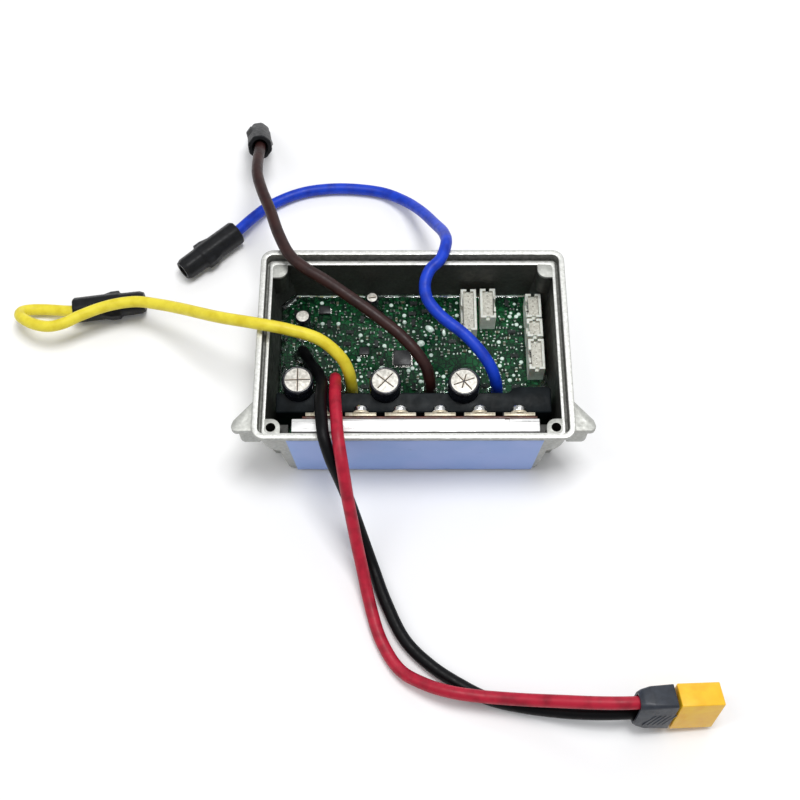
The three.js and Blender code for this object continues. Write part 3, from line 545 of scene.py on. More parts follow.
WIRE_DIAMETER = 0.0043
ROUTES = {
    "battery_wire_red": [
        (-.0281, -.007, .008), (-.0281, -.007, .012), (-.028, -.0075, .018), (-.0275, -.011, .024),
        (-.0271, -.02, .0304), (-.0264, -.028, .0342), (-.0254, -.0382, .0368), (-.0241, -.0462, .035),
        (-.0231, -.0518, .031), (-.0221, -.0569, .0255), (-.0209, -.062, .02), (-.0193, -.0686, .013),
        (-.0175, -.0757, .0075), (-.0153, -.0852, .0038), (-.0111, -.0987, .0024), (-.0046, -.109, .003),
        (.0036, -.1142, .0055), (.0118, -.1171, .0072), (.0199, -.1185, .0078), (.028, -.1194, .0086),
        (.0374, -.1204, .0105), (.0466, -.1213, .013), (.0585, -.1223, .0155), (.0675, -.1225, .0162),
        (.0745, -.1221, .0154), (.0814, -.1217, .0145)],
    "battery_wire_black": [
        (-.0409, .0076, .008), (-.0409, .0074, .011), (-.0398, .0046, .015), (-.037, -.0015, .0185),
        (-.0341, -.007, .0224), (-.0323, -.0125, .0258), (-.032, -.018, .0292), (-.0319, -.024, .0324),
        (-.0312, -.031, .0352), (-.0302, -.0382, .036), (-.0278, -.0448, .032), (-.0249, -.0498, .026),
        (-.0222, -.0546, .0195), (-.0198, -.0595, .013), (-.0168, -.0664, .0065), (-.0137, -.0742, .0027),
        (-.0098, -.0848, .0024), (-.003, -.0987, .0024), (.0054, -.1072, .0024), (.0154, -.1138, .0024),
        (.0252, -.1186, .0024), (.035, -.121, .003), (.0429, -.1225, .0046), (.0522, -.1238, .0068),
        (.061, -.1244, .0087), (.0668, -.1244, .0093), (.0735, -.124, .0085), (.0806, -.1236, .0076)],
    "phase_wire_yellow": [
        (-.0221, -.0096, .008), (-.0221, -.0096, .012), (-.0222, -.009, .0175), (-.023, -.007, .023),
        (-.0254, -.004, .0275), (-.0328, .0008, .0322), (-.0432, .0032, .035), (-.0545, .0052, .036),
        (-.0691, .0109, .0305), (-.0859, .0204, .0205), (-.0944, .0244, .0164), (-.1046, .0273, .0136),
        (-.1148, .0259, .0129), (-.125, .0218, .0126), (-.1303, .0189, .0124), (-.1359, .0176, .012),
        (-.1416, .0188, .0112), (-.1466, .0218, .0096), (-.1496, .0252, .0072), (-.1496, .0282, .0048),
        (-.1468, .0298, .0032), (-.142, .0301, .0028), (-.1365, .0293, .0036), (-.1305, .0282, .005),
        (-.1228, .0293, .0053)],
    "phase_wire_brown": [
        (.0062, -.0098, .008), (.0062, -.0098, .012), (.0061, -.009, .018), (.005, -.006, .023),
        (.0015, -.0015, .0266), (-.0046, .0044, .0292), (-.0135, .0112, .0316), (-.0225, .0174, .0336),
        (-.0315, .0236, .035), (-.0388, .0282, .0358), (-.0443, .0334, .036), (-.0488, .0426, .0354),
        (-.0528, .0546, .034), (-.0566, .065, .032), (-.0589, .0734, .03), (-.0595, .0795, .028),
        (-.0597, .0861, .0251), (-.06, .0937, .0205), (-.0606, .0986, .0166)],
    "phase_wire_blue": [
        (.0306, -.0098, .008), (.0306, -.0098, .012), (.03, -.009, .0175), (.0282, -.006, .0225),
        (.0244, -.001, .0258), (.0186, .0049, .0282), (.0097, .0117, .0306), (.0051, .0173, .033),
        (.0044, .0224, .0349), (.0062, .0273, .0359), (.0099, .0314, .0362), (.0122, .0386, .0354),
        (.0118, .047, .0296), (.0084, .0582, .02), (.0036, .0692, .012), (-.0026, .0784, .0056),
        (-.0108, .0843, .0028), (-.021, .0865, .0024), (-.0332, .0868, .0024), (-.0453, .0846, .0024),
        (-.0572, .0781, .003), (-.0639, .0709, .0044), (-.069, .0645, .0053), (-.073, .0607, .0053)],
}
SPAN_STEPS = 10


def smooth_route(points):
    """The centripetal Catmull-Rom curve through a route, the same curve as the CAD tube's."""
    route = [Vector(p) for p in points]
    route = [2 * route[0] - route[1], *route, 2 * route[-1] - route[-2]]
    out = []
    for a, b, c, d in zip(route, route[1:], route[2:], route[3:]):
        ab, bc, cd = ((q - p).length ** 0.5 for p, q in ((a, b), (b, c), (c, d)))
        start = ((b - a) / ab - (c - a) / (ab + bc) + (c - b) / bc) * bc
        end = ((c - b) / bc - (d - b) / (bc + cd) + (d - c) / cd) * bc
        for i in range(SPAN_STEPS):
            t = i / SPAN_STEPS
            out.append(
                b + start * t + (3 * (c - b) - 2 * start - end) * t ** 2
                + (2 * (b - c) + start + end) * t ** 3)
    return out + [route[-2]]


def make_lead(name):
    points = smooth_route(ROUTES[name])
    curve = bpy.data.curves.new(name + "_sleeve", "CURVE")
    curve.dimensions = "3D"
    curve.bevel_depth = WIRE_DIAMETER / 2
    curve.bevel_resolution = 6
    curve.use_fill_caps = True
    spline = curve.splines.new("POLY")
    spline.points.add(len(points) - 1)
    for point, place in zip(spline.points, points):
        point.co = (*place, 1)
    spline.use_smooth = True
    curve.materials.append(MATERIALS[name])
    lead = add_object(name + "_sleeve", curve)
    length = sum((q - p).length for p, q in zip(points, points[1:]))
    return finish_piece(lead, [name]), length


LEADS = {name: make_lead(name) for name in ROUTES}


# ---- tub

RIM_HIGH = node_box("housing")[1]
TUB_TOP = RIM_HIGH.z
RIM_BOTTOM = TUB_TOP - 1.8
HALF_W = 55.2
HALF_D = RIM_HIGH.y
RIM_OVERHANG = 1.4
WALL_W = HALF_W - RIM_OVERHANG
BAND = 2
GROOVE = 1.05
GROOVE_FRONT = 0.7
LEDGE = TUB_TOP - 2.7
GROOVE_FLOOR = LEDGE - 1.5
LEDGE_W = HALF_W - BAND - GROOVE
LEDGE_BACK = HALF_D - BAND - GROOVE
LEDGE_FRONT = BAND + GROOVE_FRONT - HALF_D
BASE_HALF_W = 51
BASE_HALF_D = 35
MOUTH_W = 50.9
MOUTH_FRONT = -34.3
MOUTH_FLOOR_FRONT = -33.3
MOUTH_BACK = 32.9
KNEE = 18.5
CHAMFER = 6.8
INNER_CHAMFER = 5.6
FLOOR_TOP = 2.2
RECESS_BACK = -29
RECESS_WALL_X = 43.95
RECESS_WALL_BACK = -26.9
OUTSIDE = 70
BOSS_X = 48.9
BOSS_RADIUS = 3.3
BOSS_BORE_RADIUS = 1.7
FRONT_BOSS_Y = -32.2
REAR_BOSS_Y = 30.9


def wall_depth(z):
    """Half the depth over the front and rear walls, which lean out as they rise."""
    return BASE_HALF_D + (HALF_D - RIM_OVERHANG - BASE_HALF_D) * z / RIM_BOTTOM


def wall_ring(half_x, corner, z, chamfered=False):
    return corner_ring(half_x, -wall_depth(z), wall_depth(z), corner, z, chamfered)


def ear_recess(side, margin=0.0):
    """The space under an ear, where the lower body's front corner is set back."""
    back = margin + RECESS_BACK
    far = side * OUTSIDE
    return fresh(loft, [
        np.array([(side * x, back, z), (far, back, z), (far, -OUTSIDE, z), (side * x, -OUTSIDE, z)])
        for x, z in ((45 - margin, -1), (46.6 - margin, KNEE))])


def make_tub():
    """The casting as one skin, from its underside up, over the rim and down to its floor."""
    bm = bmesh.new()
    outside, rim, step, inside = 0, 1, 2, 3
    rim_size = (HALF_W, -HALF_D, HALF_D, 4.5)
    groove_size = (HALF_W - BAND, BAND - HALF_D, HALF_D - BAND, 2.5)
    ledge_size = (LEDGE_W, LEDGE_FRONT, LEDGE_BACK, 1.5)
    mouth_size = (MOUTH_W, MOUTH_FRONT, MOUTH_BACK, 1.5)
    rings = [
        (corner_ring(BASE_HALF_W - 1, 1 - BASE_HALF_D, BASE_HALF_D - 1, CHAMFER - 0.6, 0, True), outside),
        (wall_ring(BASE_HALF_W, CHAMFER, 0.9, True), outside),
        (wall_ring(WALL_W - 0.1, CHAMFER, KNEE - 0.9, True), outside),
        (wall_ring(WALL_W, 7, KNEE - 0.5), outside),
        (wall_ring(WALL_W, 3.5, RIM_BOTTOM - 0.1), outside),
        (corner_ring(*rim_size, RIM_BOTTOM), outside),
        (corner_ring(*rim_size, TUB_TOP), rim),
        # The seal groove's walls and floor take the cast finish darkened as painted shade.
        (corner_ring(*groove_size, TUB_TOP), step),
        (corner_ring(*groove_size, GROOVE_FLOOR), step),
        (corner_ring(*ledge_size, GROOVE_FLOOR), step),
        (corner_ring(*ledge_size, LEDGE), rim),
        # From the ledge's inner edge down, the walls take the cast finish darkened as painted shade.
        (corner_ring(*mouth_size, LEDGE), inside),
        (corner_ring(*mouth_size, KNEE + 1), inside),
        (corner_ring(MOUTH_W - 0.1, MOUTH_FRONT, MOUTH_BACK, INNER_CHAMFER, KNEE, True), inside),
        (corner_ring(
            BASE_HALF_W - 2.1, MOUTH_FLOOR_FRONT, MOUTH_BACK, INNER_CHAMFER, FLOOR_TOP, True), inside),
    ]
    loft(bm, [r for r, _ in rings], [m for _, m in rings[:-1]], 0.28)
    bm = cut(bm, ear_recess(-1), ear_recess(1))
    for side in (-1, 1):
        # The recess walls take the inside finish, darkened as painted shade.
        add_recess_wall(bm, side, inside)
        add_ear(bm, side)
        add_boss(bm, side, -1, FRONT_BOSS_Y)
        add_boss(bm, side, 1, REAR_BOSS_Y)
    add_piece(
        "tub_casting", bm, ["cast", "machined", "cast_shaded_step", "cast_shaded_inside"], "cast_aluminium",
        ["housing"])


def add_recess_wall(bm, side, mat):
    """The two walls and the roof that close the tub off from an ear's recess."""
    mirror = Matrix.Scale(side, 4, (1, 0, 0))
    x0, y0 = RECESS_WALL_X, RECESS_WALL_BACK
    walls = fresh(loft, [
        np.array([(x0, y0, z), (x, y0, z), (x, y, z), (x0, y, z)])
        for x, y, z in ((50.1, -34.1, 0.3), (53, -35.2, KNEE))], mat)
    merge(bm, cut(walls, ear_recess(1, 0.05)), 0, mirror)
    roof = [(x0, y0), (x0, -34.8), (49, -34.8), (52, -31), (52, y0)]
    merge(bm, fresh(add_prism, roof, KNEE + 0.05, KNEE + 2.1), mat, mirror)


EAR_TIP = RIM_HIGH.x
EAR_TOP = RIM_BOTTOM
EAR_FRONT = -34
EAR_BACK = -21
EAR_PLATE = 2.6
EAR_HEIGHT = 10


def add_ear(bm, side):
    """A lug at a front corner: a plate, and a thicker foot under it."""
    neck = WALL_W - 0.6
    tip = EAR_TIP - 0.05
    plate = [
        (neck, EAR_FRONT), (tip - 1.6, EAR_FRONT), *arc(tip - 1.8, EAR_FRONT + 1.8, 1.8, -80, 15, 5),
        (tip - 0.6, EAR_FRONT + 4), (WALL_W, EAR_BACK), (neck, EAR_BACK)]
    foot = [
        (neck, EAR_FRONT + 0.2), (tip - 4, EAR_FRONT + 0.2),
        *arc(tip - 4.1, EAR_FRONT + 2.3, 2.1, -80, 30, 4),
        (WALL_W, EAR_BACK - 1.8), (neck, EAR_BACK - 1.8)]
    part = fresh(add_prism, plate, EAR_TOP - EAR_PLATE, EAR_TOP, 0.5)
    add_prism(part, foot, EAR_TOP - EAR_HEIGHT, EAR_TOP - EAR_PLATE + 0.5, 0.4)
    merge(bm, part, 0, Matrix.Scale(side, 4, (1, 0, 0)))


def add_boss(bm, side_x, side_y, y):
    """A lid-screw column in a corner, its column darkened as painted shade under a cap in the cast finish.
    The front pair are drilled, their bores in painted shade too.
    """
    x = side_x * BOSS_X
    reach_x = side_x * LEDGE_W
    reach_y = LEDGE_FRONT if side_y < 0 else LEDGE_BACK
    sweep = [
        (x - side_x * (px - x), y - side_y * (py - y)) for px, py in arc(x, y, BOSS_RADIUS, 90, 0)]
    for corner, z0, z1, bevel, mat in (
            (3.2, KNEE + 0.5, LEDGE - 0.9, 0, 3), (0.6, LEDGE - 1.6, LEDGE - 0.02, 0.3, 0)):
        outline = [
            (reach_x - side_x * corner, reach_y), (reach_x, reach_y - side_y * corner),
            (reach_x, sweep[0][1]), *sweep, (sweep[-1][0], reach_y)]
        part = fresh(add_prism, outline, z0, z1, bevel, mat)
        if side_y < 0:
            part = cut(part, fresh(
                turn, [(BOSS_BORE_RADIUS, LEDGE - 9), (BOSS_BORE_RADIUS, LEDGE + 1)], 24, 3,
                place=move(x, y)))
        merge(bm, part)


make_tub()


# ---- thermal pad, bar and film

PAD_BOTTOM = (-41.8, 42.9, 1)
PAD_TOP = (-43.6, 44.6, 30)
PAD_THICK = 0.8


def make_pad():
    """A soft sheet on the leaning front wall, wider at its top, with slightly uneven edges."""
    z0, z1 = PAD_BOTTOM[2], PAD_TOP[2]
    bm = fresh(add_box, (0, -PAD_THICK, z0), (100, 0, z1), 0.25)
    bmesh.ops.subdivide_edges(
        bm, edges=[e for e in bm.edges if e.calc_length() > 15], cuts=30, use_grid_fill=True)
    for v in bm.verts:
        rise = (v.co.z - z0) / (z1 - z0)
        left = PAD_BOTTOM[0] + (PAD_TOP[0] - PAD_BOTTOM[0]) * rise
        right = PAD_BOTTOM[1] + (PAD_TOP[1] - PAD_BOTTOM[1]) * rise
        v.co.x = left + (right - left) * v.co.x / 100
        ripple = 0.14 * sin(v.co.x * 0.37) + 0.08 * sin(v.co.x * 0.9 + 1)
        v.co.z += (ripple - 0.22) * (2 * rise - 1)
        v.co.y -= wall_depth(v.co.z) + 0.1
    add_piece("gap_pad_sheet", bm, ["pad"], "thermal_pad", ["thermal_pad"])


def make_bar():
    """The milled bar, with the step that runs along its rear edge at each end."""
    low, high = node_box("heat_bar")
    bm = fresh(add_box, low, high, 0.25)
    steps = [
        fresh(add_box, (x0, high.y - 1.5, high.z - 0.35), (x1, high.y - 1.15, high.z + 1))
        for x0, x1 in ((low.x - 1, -32), (32.5, high.x + 1))]
    notch = fresh(add_box, (31.6, high.y - 0.9, high.z - 0.8), (33.2, high.y + 1, high.z + 1))
    bm = cut(bm, *steps, notch)
    rounded_edges(add_piece("heat_bar_milled", bm, ["bar"], "bar_aluminium", ["heat_bar"]), 0.08)


def make_film():
    """The insulating sheet stands a hair proud between the tabs and the bar."""
    low, high = node_box("insulating_film")
    bm = fresh(add_box, low, high, 0.1)
    bmesh.ops.subdivide_edges(
        bm, edges=[e for e in bm.edges if e.calc_length() > 15], cuts=40, use_grid_fill=True)
    for v in bm.verts:
        if v.co.z > high.z - 1:
            v.co.z -= 0.12 * (1 + sin(v.co.x * 0.8) * sin(v.co.x * 0.23))
    add_piece("film_sheet", bm, ["film"], "insulating_film", ["insulating_film"])


make_pad()
make_bar()
make_film()


# ---- power transistors

SCREW_Z = 25.8
TAB_THICK = 1.3
TAB_HEIGHT = 15.8
LEG_PITCH = 2.54


def make_transistor(number):
    node = f"mosfet_{number}"
    low, high = node_box(node)
    x = centre_of(node)[0]
    tab_back = low.y + TAB_THICK
    bottom = high.z - TAB_HEIGHT
    bm = fresh(add_box, (low.x, low.y, bottom), (high.x, tab_back, high.z), 0.15, 1)
    add_box(bm, (low.x + 0.1, low.y + 0.3, bottom), (high.x - 0.1, high.y, bottom + 9.2), 0.3, 0)
    for offset in (-LEG_PITCH, 0, LEG_PITCH):
        leg = x + offset
        add_box(bm, (leg - 0.65, high.y - 2.6, bottom - 2), (leg + 0.65, high.y - 2, bottom + 1), 0.1, 2)
        add_box(bm, (leg - 0.4, high.y - 2.6, low.z), (leg + 0.4, high.y - 2, bottom - 1), 0.08, 2)
    back = move(x, 0, SCREW_Z) @ spin(-90, "X")
    bore = fresh(turn, [(1.8, low.y - 1), (1.8, tab_back + 1)], 24, place=back)
    add_piece(
        f"transistor_{number}", cut(bm, bore), ["epoxy", "tab", "tin"], "transistor", [node])


def make_fastener(number):
    """A pan-head screw with a cross recess on a bevelled washer."""
    low, high = node_box(f"washer_{number}")
    x = centre_of(f"washer_{number}")[0]
    back = move(x, 0, SCREW_Z) @ spin(-90, "X")
    washer = fresh(
        turn, [(1.7, low.y), (3.05, low.y), (3.1, low.y + 0.2), (2.85, high.y), (1.7, high.y)],
        36, closed=True, place=back)
    add_piece(f"washer_plate_{number}", washer, ["washer"], "washer_steel", [f"washer_{number}"])
    screw_low, screw_high = node_box(f"mosfet_screw_{number}")
    seat = high.y + 0.05
    crown = screw_high.y - 0.02
    screw = fresh(turn, [
        (1.2, screw_low.y + 0.1), (1.25, seat - 0.2), (2.5, seat), (2.55, seat + 1.5), (2.1, crown - 0.2),
        (0.9, crown)], 32, radius=0.3, place=back)
    recesses = [
        fresh(add_box, (x - half_x, crown - 0.9, SCREW_Z - half_z), (x + half_x, crown + 1, SCREW_Z + half_z))
        for half_x, half_z in ((0.28, 1.1), (1.1, 0.28))]
    add_piece(
        f"screw_{number}", cut(screw, *recesses), ["screw"], "screw_steel", [f"mosfet_screw_{number}"])


for number in range(1, 7):
    make_transistor(number)
    make_fastener(number)


# ---- capacitors

def make_can(node, name, grooves):
    """An electrolytic can whose sleeve rolls over a metal top with pressed vent grooves."""
    low, high = node_box(node)
    x, y, r = centre_of(node)
    lid_r = r * 0.83
    here = move(x, y)
    bm = fresh(turn, [
        (r - 0.6, low.z), (r - 0.1, low.z + 0.5), (r, low.z + 1.4), (r - 0.3, low.z + 2.2), (r, low.z + 3),
        (r, high.z - 0.7), (r - 0.5, high.z), (lid_r, high.z - 0.02), (r * 0.81, high.z - 0.35)],
        48, 0, 0.25, here)
    lid = fresh(turn, [
        (lid_r, high.z - 0.7), (lid_r, high.z - 0.28), (r * 0.5, high.z - 0.2),
        (r * 0.1, high.z - 0.18)], 48, 1, 0, here)
    tools = [
        fresh(
            add_box, (-span * r, -0.3, -0.3), (span * r, 0.3, 0.3), 0, 2,
            move(x, y, high.z - 0.1) @ spin(angle, "Z") @ spin(45, "X"))
        for angle, span in grooves]
    merge(bm, cut(lid, *tools) if tools else lid)
    add_piece(name, bm, ["sleeve", "can_top", "groove"], "capacitor", [node])


# Each groove's turn, and its half length as a share of the can's radius.
CAN_GROOVES = {
    "bulk_capacitor_1": ((2, 0.8), (91, 0.8)), "bulk_capacitor_2": ((48, 0.7), (-40, 0.7)),
    "bulk_capacitor_3": ((20, 0.7), (74, 0.5), (-50, 0.75)),
    "small_capacitor_1": (), "small_capacitor_2": ((10, 0.6),)}
for can, can_grooves in CAN_GROOVES.items():
    make_can(can, can.replace("capacitor", "can"), can_grooves)


# ---- headers

HEADERS = {
    "header_left_6pin": (6, -1), "header_mid_4pin": (4, 1), "header_right_3pin": (3, -1),
    "header_right_2pin": (2, -1), "header_right_4pin": (4, -1)}
PITCH = 2.5
SHROUD_WALL = 0.95
WELL_DEPTH = 1.3


def make_header(node):
    """A nylon shroud with a notched long side, slots in its ends and a row of tinned pins."""
    pins, side = HEADERS[node]
    low, high = node_box(node)
    x, y, _ = centre_of(node)
    wall_x = low.x if side < 0 else high.x
    corner_x = wall_x - side * 0.4
    tools = [
        fresh(
            add_box, (low.x + SHROUD_WALL, low.y + SHROUD_WALL, high.z - WELL_DEPTH),
            (high.x - SHROUD_WALL, high.y - SHROUD_WALL, high.z + 1), mat=1),
        fresh(add_box, (wall_x - 0.8, y - 1.6, high.z - 3.2), (wall_x + 0.8, y + 1.6, high.z + 1)),
        *[fresh(add_box, (x - 0.7, end - 1.2, high.z - 2.2), (x + 0.7, end + 1.2, high.z + 1))
          for end in (low.y, high.y)],
        fresh(add_box, (corner_x - 0.5, low.y + 2, low.z + 1.5), (corner_x + 0.5, low.y + 2.6, high.z + 1))]
    shroud = cut(fresh(add_box, low, high), *tools)
    rounded_edges(add_piece(f"{node}_shroud", shroud, ["nylon", "well"], "header_nylon", [node]), 0.12)
    rails = bmesh.new()
    for i in range(pins):
        pin_y = y + (i - (pins - 1) / 2) * PITCH
        turn(
            rails, [(0.45, low.z + 2), (0.45, high.z - 1.4), (0.2, high.z - 0.9)], 4, 0,
            place=move(x, pin_y) @ spin(45, "Z"))
    add_piece(f"{node}_pins", rails, ["tin"], "header_pin")


for header in HEADERS:
    make_header(header)


# ---- board and what is soldered on it

BOARD_TOP = node_box("main_board")[1].z
ROOT_CLEARANCE = 3.2
GRID = 0.5
ROOTS = {name: Vector(route[0]) / MM for name, route in ROUTES.items()}


def paint_node(node, key):
    """Gives a CAD node, whose shape stays, its finished material."""
    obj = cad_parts[node]
    obj.data.materials.clear()
    obj.data.materials.append(MATERIALS[key])


paint_node("main_board", "board")


def make_chip(node, name, sides_with_leads, pitch):
    """A black package with rounded edges, a pin-one dimple and gull-wing leads."""
    low, high = node_box(node)
    middle = (low + high) / 2
    half = (high - low) / 2
    bm = fresh(add_box, (low.x + 0.5, low.y + 0.5, low.z + 0.15), (high.x - 0.5, high.y - 0.5, high.z), 0.18)
    bm = cut(bm, fresh(
        turn, [(0.35, high.z - 0.08), (0.45, high.z + 1)], 20, place=move(low.x + 1.3, high.y - 1.3)))
    for angle in sides_with_leads:
        along = half.y if angle % 180 == 0 else half.x
        out = half.x if angle % 180 == 0 else half.y
        count = int((2 * along - 2) / pitch)
        for i in range(count + 1):
            place = move(middle.x, middle.y) @ spin(angle, "Z")
            t = (i - count / 2) * pitch
            w = pitch * 0.26
            add_box(bm, (out - 0.7, t - w, low.z + 0.5), (out - 0.25, t + w, low.z + 0.65), 0.03, 1, place)
            add_box(bm, (out - 0.35, t - w, low.z), (out, t + w, low.z + 0.2), 0.03, 1, place)
    add_piece(name, bm, ["epoxy", "tin"], "chip", [node])


make_chip("controller_chip", "controller_package", (0, 90, 180, 270), 0.55)
make_chip("regulator_chip", "regulator_package", (90, 270), 1.1)
make_chip("driver_chip", "driver_package", (0, 180), 0.8)


def keep_clear():
    """Circles, as centre and radius, that loose parts on the board stay out of."""
    spots = [(p.x, p.y, ROOT_CLEARANCE) for p in ROOTS.values()]
    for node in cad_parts:
        if "capacitor" in node or "chip" in node or node.startswith("header"):
            low, high = node_box(node)
            width = min(high.x - low.x, high.y - low.y) / 2
            steps = max(1, round((high.y - low.y) / (2 * width)))
            for i in range(steps):
                y = low.y + (i + 0.5) * (high.y - low.y) / steps
                spots.append(((low.x + high.x) / 2, y, width + 0.9))
    return spots


FREE_X = (-46, 41.6)
FREE_Y = (-12.2, 30.2)


def scatter(count, gap, spots):
    """Places on the board that keep gap from spots and from each other."""
    places = []
    for _ in range(count * 40):
        x, y = (round(RANDOM.uniform(*limits) / GRID) * GRID for limits in (FREE_X, FREE_Y))
        if all(hypot(x - a, y - b) > r + gap for a, b, r in spots):
            places.append((x, y))
            spots.append((x, y, gap))
            if len(places) == count:
                break
    return places


# Piece, materials, how many, the gap kept round each, and half length, half width and height.
SMALL_PARTS = (
    ("small_drivers", ["epoxy", "tin"], 44, 1.9, (1.45, 0.7, 1.0)),
    ("ceramics", ["ceramic", "tin"], 46, 1.0, (0.85, 0.45, 0.8)),
    ("resistors", ["epoxy", "tin"], 150, 0.95, (0.8, 0.42, 0.45)))


def make_small_parts():
    """Resistors, ceramic capacitors, three-legged packages and solder dots."""
    spots = keep_clear() + [(x, 3.7, 3.1) for x in (10.5, 16, 21.5)]
    made = []
    for kind, materials, count, gap, (half_l, half_w, tall) in SMALL_PARTS:
        bm = bmesh.new()
        three_legs = kind == "small_drivers"
        body_l = half_l * (0.98 if three_legs else 0.62)
        for x, y in scatter(count, gap, spots):
            place = move(x, y, BOARD_TOP) @ spin(RANDOM.choice((0, 90)), "Z")
            add_box(bm, (-body_l, -half_w, 0.1), (body_l, half_w, tall), 0.06, 0, place, 1)
            if three_legs:
                for t, side in ((-0.95, -1), (0.95, -1), (0, 1)):
                    foot = side * (half_w + 0.25)
                    add_box(bm, (t - 0.2, foot - 0.3, 0), (t + 0.2, foot + 0.3, 0.3), 0.04, 1, place, 1)
            else:
                for side in (-1, 1):
                    end = side * half_l * 0.8
                    add_box(
                        bm, (end - 0.2, -half_w - 0.02, 0), (end + 0.2, half_w + 0.02, tall + 0.03),
                        0.06, 1, place, 1)
        made.append((kind, bm, materials))
    for part in reversed(made):
        add_piece(*part, "chip")
    # The solder dots' near-white is partly their own bright metal and partly a painted highlight.
    dots = bmesh.new()
    for x, y in scatter(150, 0.6, spots):
        r = RANDOM.choice((0.3, 0.4, 0.6, 0.8))
        turn(
            dots, [(r, BOARD_TOP), (r * 0.8, BOARD_TOP + r * 0.35), (r * 0.3, BOARD_TOP + r * 0.55)],
            14, 0, place=move(x, y))
    add_piece("solder_dots", dots, ["solder"], "solder")


make_small_parts()


def make_solder_blobs():
    """The large hand-soldered joints: centre, half-length, half-width and turn."""
    blobs = [(6.6, 18.7, 1.9, 1.2, -40), (3.2, 12.5, 1.5, 1.3, 0), (11.9, 17.1, 0.7, 1.5, 5),
             (-1.4, 9.9, 0.8, 1.2, -10), (-2.9, 21.5, 0.8, 0.8, 0), (-11.4, 2.2, 1.2, 0.7, 20)]
    # The joints' near-white is partly their own bright metal and partly a painted highlight.
    bm = bmesh.new()
    for x, y, a, b, angle in blobs:
        place = move(x, y, BOARD_TOP) @ spin(angle, "Z") @ Matrix.Diagonal((a, b, 1, 1))
        turn(bm, [(1, 0), (0.93, 0.35), (0.7, 0.75), (0.3, 1.0)], 24, 0, 0.15, place)
    add_piece("solder_joints", bm, ["solder"], "solder")


make_solder_blobs()


# ---- potting and gel

POTTING_LOW, POTTING_HIGH = node_box("dark_potting")
GEL_TOP = node_box("clear_resin")[1].z
POTTING_SLOPE = 0.16
BIG_CANS = [f"bulk_capacitor_{i}" for i in (1, 2, 3)]


def make_potting():
    """The dark compound behind the transistors, its top sloping forward, scalloped round each can."""
    back = -15
    outline = [(POTTING_LOW.x, POTTING_LOW.y), (POTTING_HIGH.x, POTTING_LOW.y)]
    outline += arc(POTTING_HIGH.x - 1.4, POTTING_HIGH.y - 1.4, 1.4, 0, 90, 5)
    outline += [
        (37.5, POTTING_HIGH.y), (35.4, POTTING_HIGH.y - 0.6), (34, back), (POTTING_LOW.x, back)]
    bm = fresh(add_prism, outline, POTTING_LOW.z, POTTING_HIGH.z, 0.5, segments=3)
    for v in bm.verts:
        if v.co.z > POTTING_HIGH.z - 2:
            v.co.z -= POTTING_SLOPE * max(0, back - v.co.y)
    tools = [
        fresh(turn, [(r + 0.15, 0), (r + 0.15, 40)], 48, place=move(x, y))
        for x, y, r in map(centre_of, BIG_CANS)]
    add_piece("potting_fill", cut(bm, *tools), ["potting"], "dark_potting", ["dark_potting"])


def add_meniscus(bm, x, y, radius, width, height):
    """A concave fillet of gel that climbs a round part."""
    turn(bm, [
        (radius, GEL_TOP - 0.3), (radius, GEL_TOP + height),
        (radius + width * 0.25, GEL_TOP + height * 0.42),
        (radius + width * 0.6, GEL_TOP + height * 0.1), (radius + width, GEL_TOP - 0.02)],
        48, closed=True, place=move(x, y))


def make_gel():
    """The clear gel: the flat sheet stays as in CAD, and fillets climb what stands in it."""
    paint_node("clear_resin", "gel")
    bm = bmesh.new()
    for place in ROOTS.values():
        add_meniscus(bm, place.x, place.y, 2.3, 1.9, 1.4)
    for node in ("small_capacitor_1", "small_capacitor_2", *BIG_CANS):
        x, y, r = centre_of(node)
        add_meniscus(bm, x, y, r + 0.1, 1.8, 1.6)
    add_piece("gel_menisci", bm, ["meniscus"], "clear_resin")
    make_wall_fillet()


def make_wall_fillet():
    """The uneven fillet of gel along the left, rear and right walls."""
    wall = 49.3
    rear = MOUTH_BACK - 0.2
    path = [Vector((-wall, -13)), Vector((-wall, rear - 5)), Vector((-wall + 5, rear)),
            Vector((wall - 5, rear)), Vector((wall, rear - 5)), Vector((wall, -11.5))]
    rows = []
    travelled = 0.0
    for a, b in zip(path, path[1:]):
        length = (b - a).length
        steps = max(2, int(length / 1.2))
        inward = Vector((b - a).orthogonal()).normalized()
        if inward.dot(-a) < 0:
            inward = -inward
        for i in range(steps):
            s = travelled + length * i / steps
            share = 0.4 if a.y == b.y else 1
            width = share * (2.0 + 0.7 * sin(s * 0.55) + 0.4 * sin(s * 1.31 + 2))
            tall = share * (1.5 + 0.5 * sin(s * 0.43 + 1) + 0.25 * sin(s * 1.7))
            spot = a.lerp(b, i / steps)
            rows.append([
                (*(spot + inward * width * reach), GEL_TOP + tall * rise)
                for reach, rise in ((0, -0.2), (0, 1), (0.2, 0.45), (0.55, 0.1), (1, -0.03))])
        travelled += length
    add_piece("gel_wall_fillet", fresh(loft, rows), ["meniscus"], "clear_resin")


make_potting()
make_gel()


# ---- phase plugs

PLUGS = {
    "yellow": ((-129.6, 28.3, 5.2), (0.99, 0.141, 0)),
    "brown": ((-60, 93.4, 20.8), (-0.12, 0.775, -0.62)),
    "blue": ((-69.4, 64.1, 5.2), (-0.74, -0.673, 0)),
}
PLUG_LENGTH = 27
# Each section's distance from the rear, its radius, and how far its sides are pushed out.
PLUG_SECTIONS = [
    (0, 4.6), (0.5, 5.0), (11, 5.0), (14.4, 5.0, 1.0), (17.4, 5.0, 1.0), (18, 4.8), (18.6, 4.6),
    (25.4, 4.5), (PLUG_LENGTH, 3.8)]


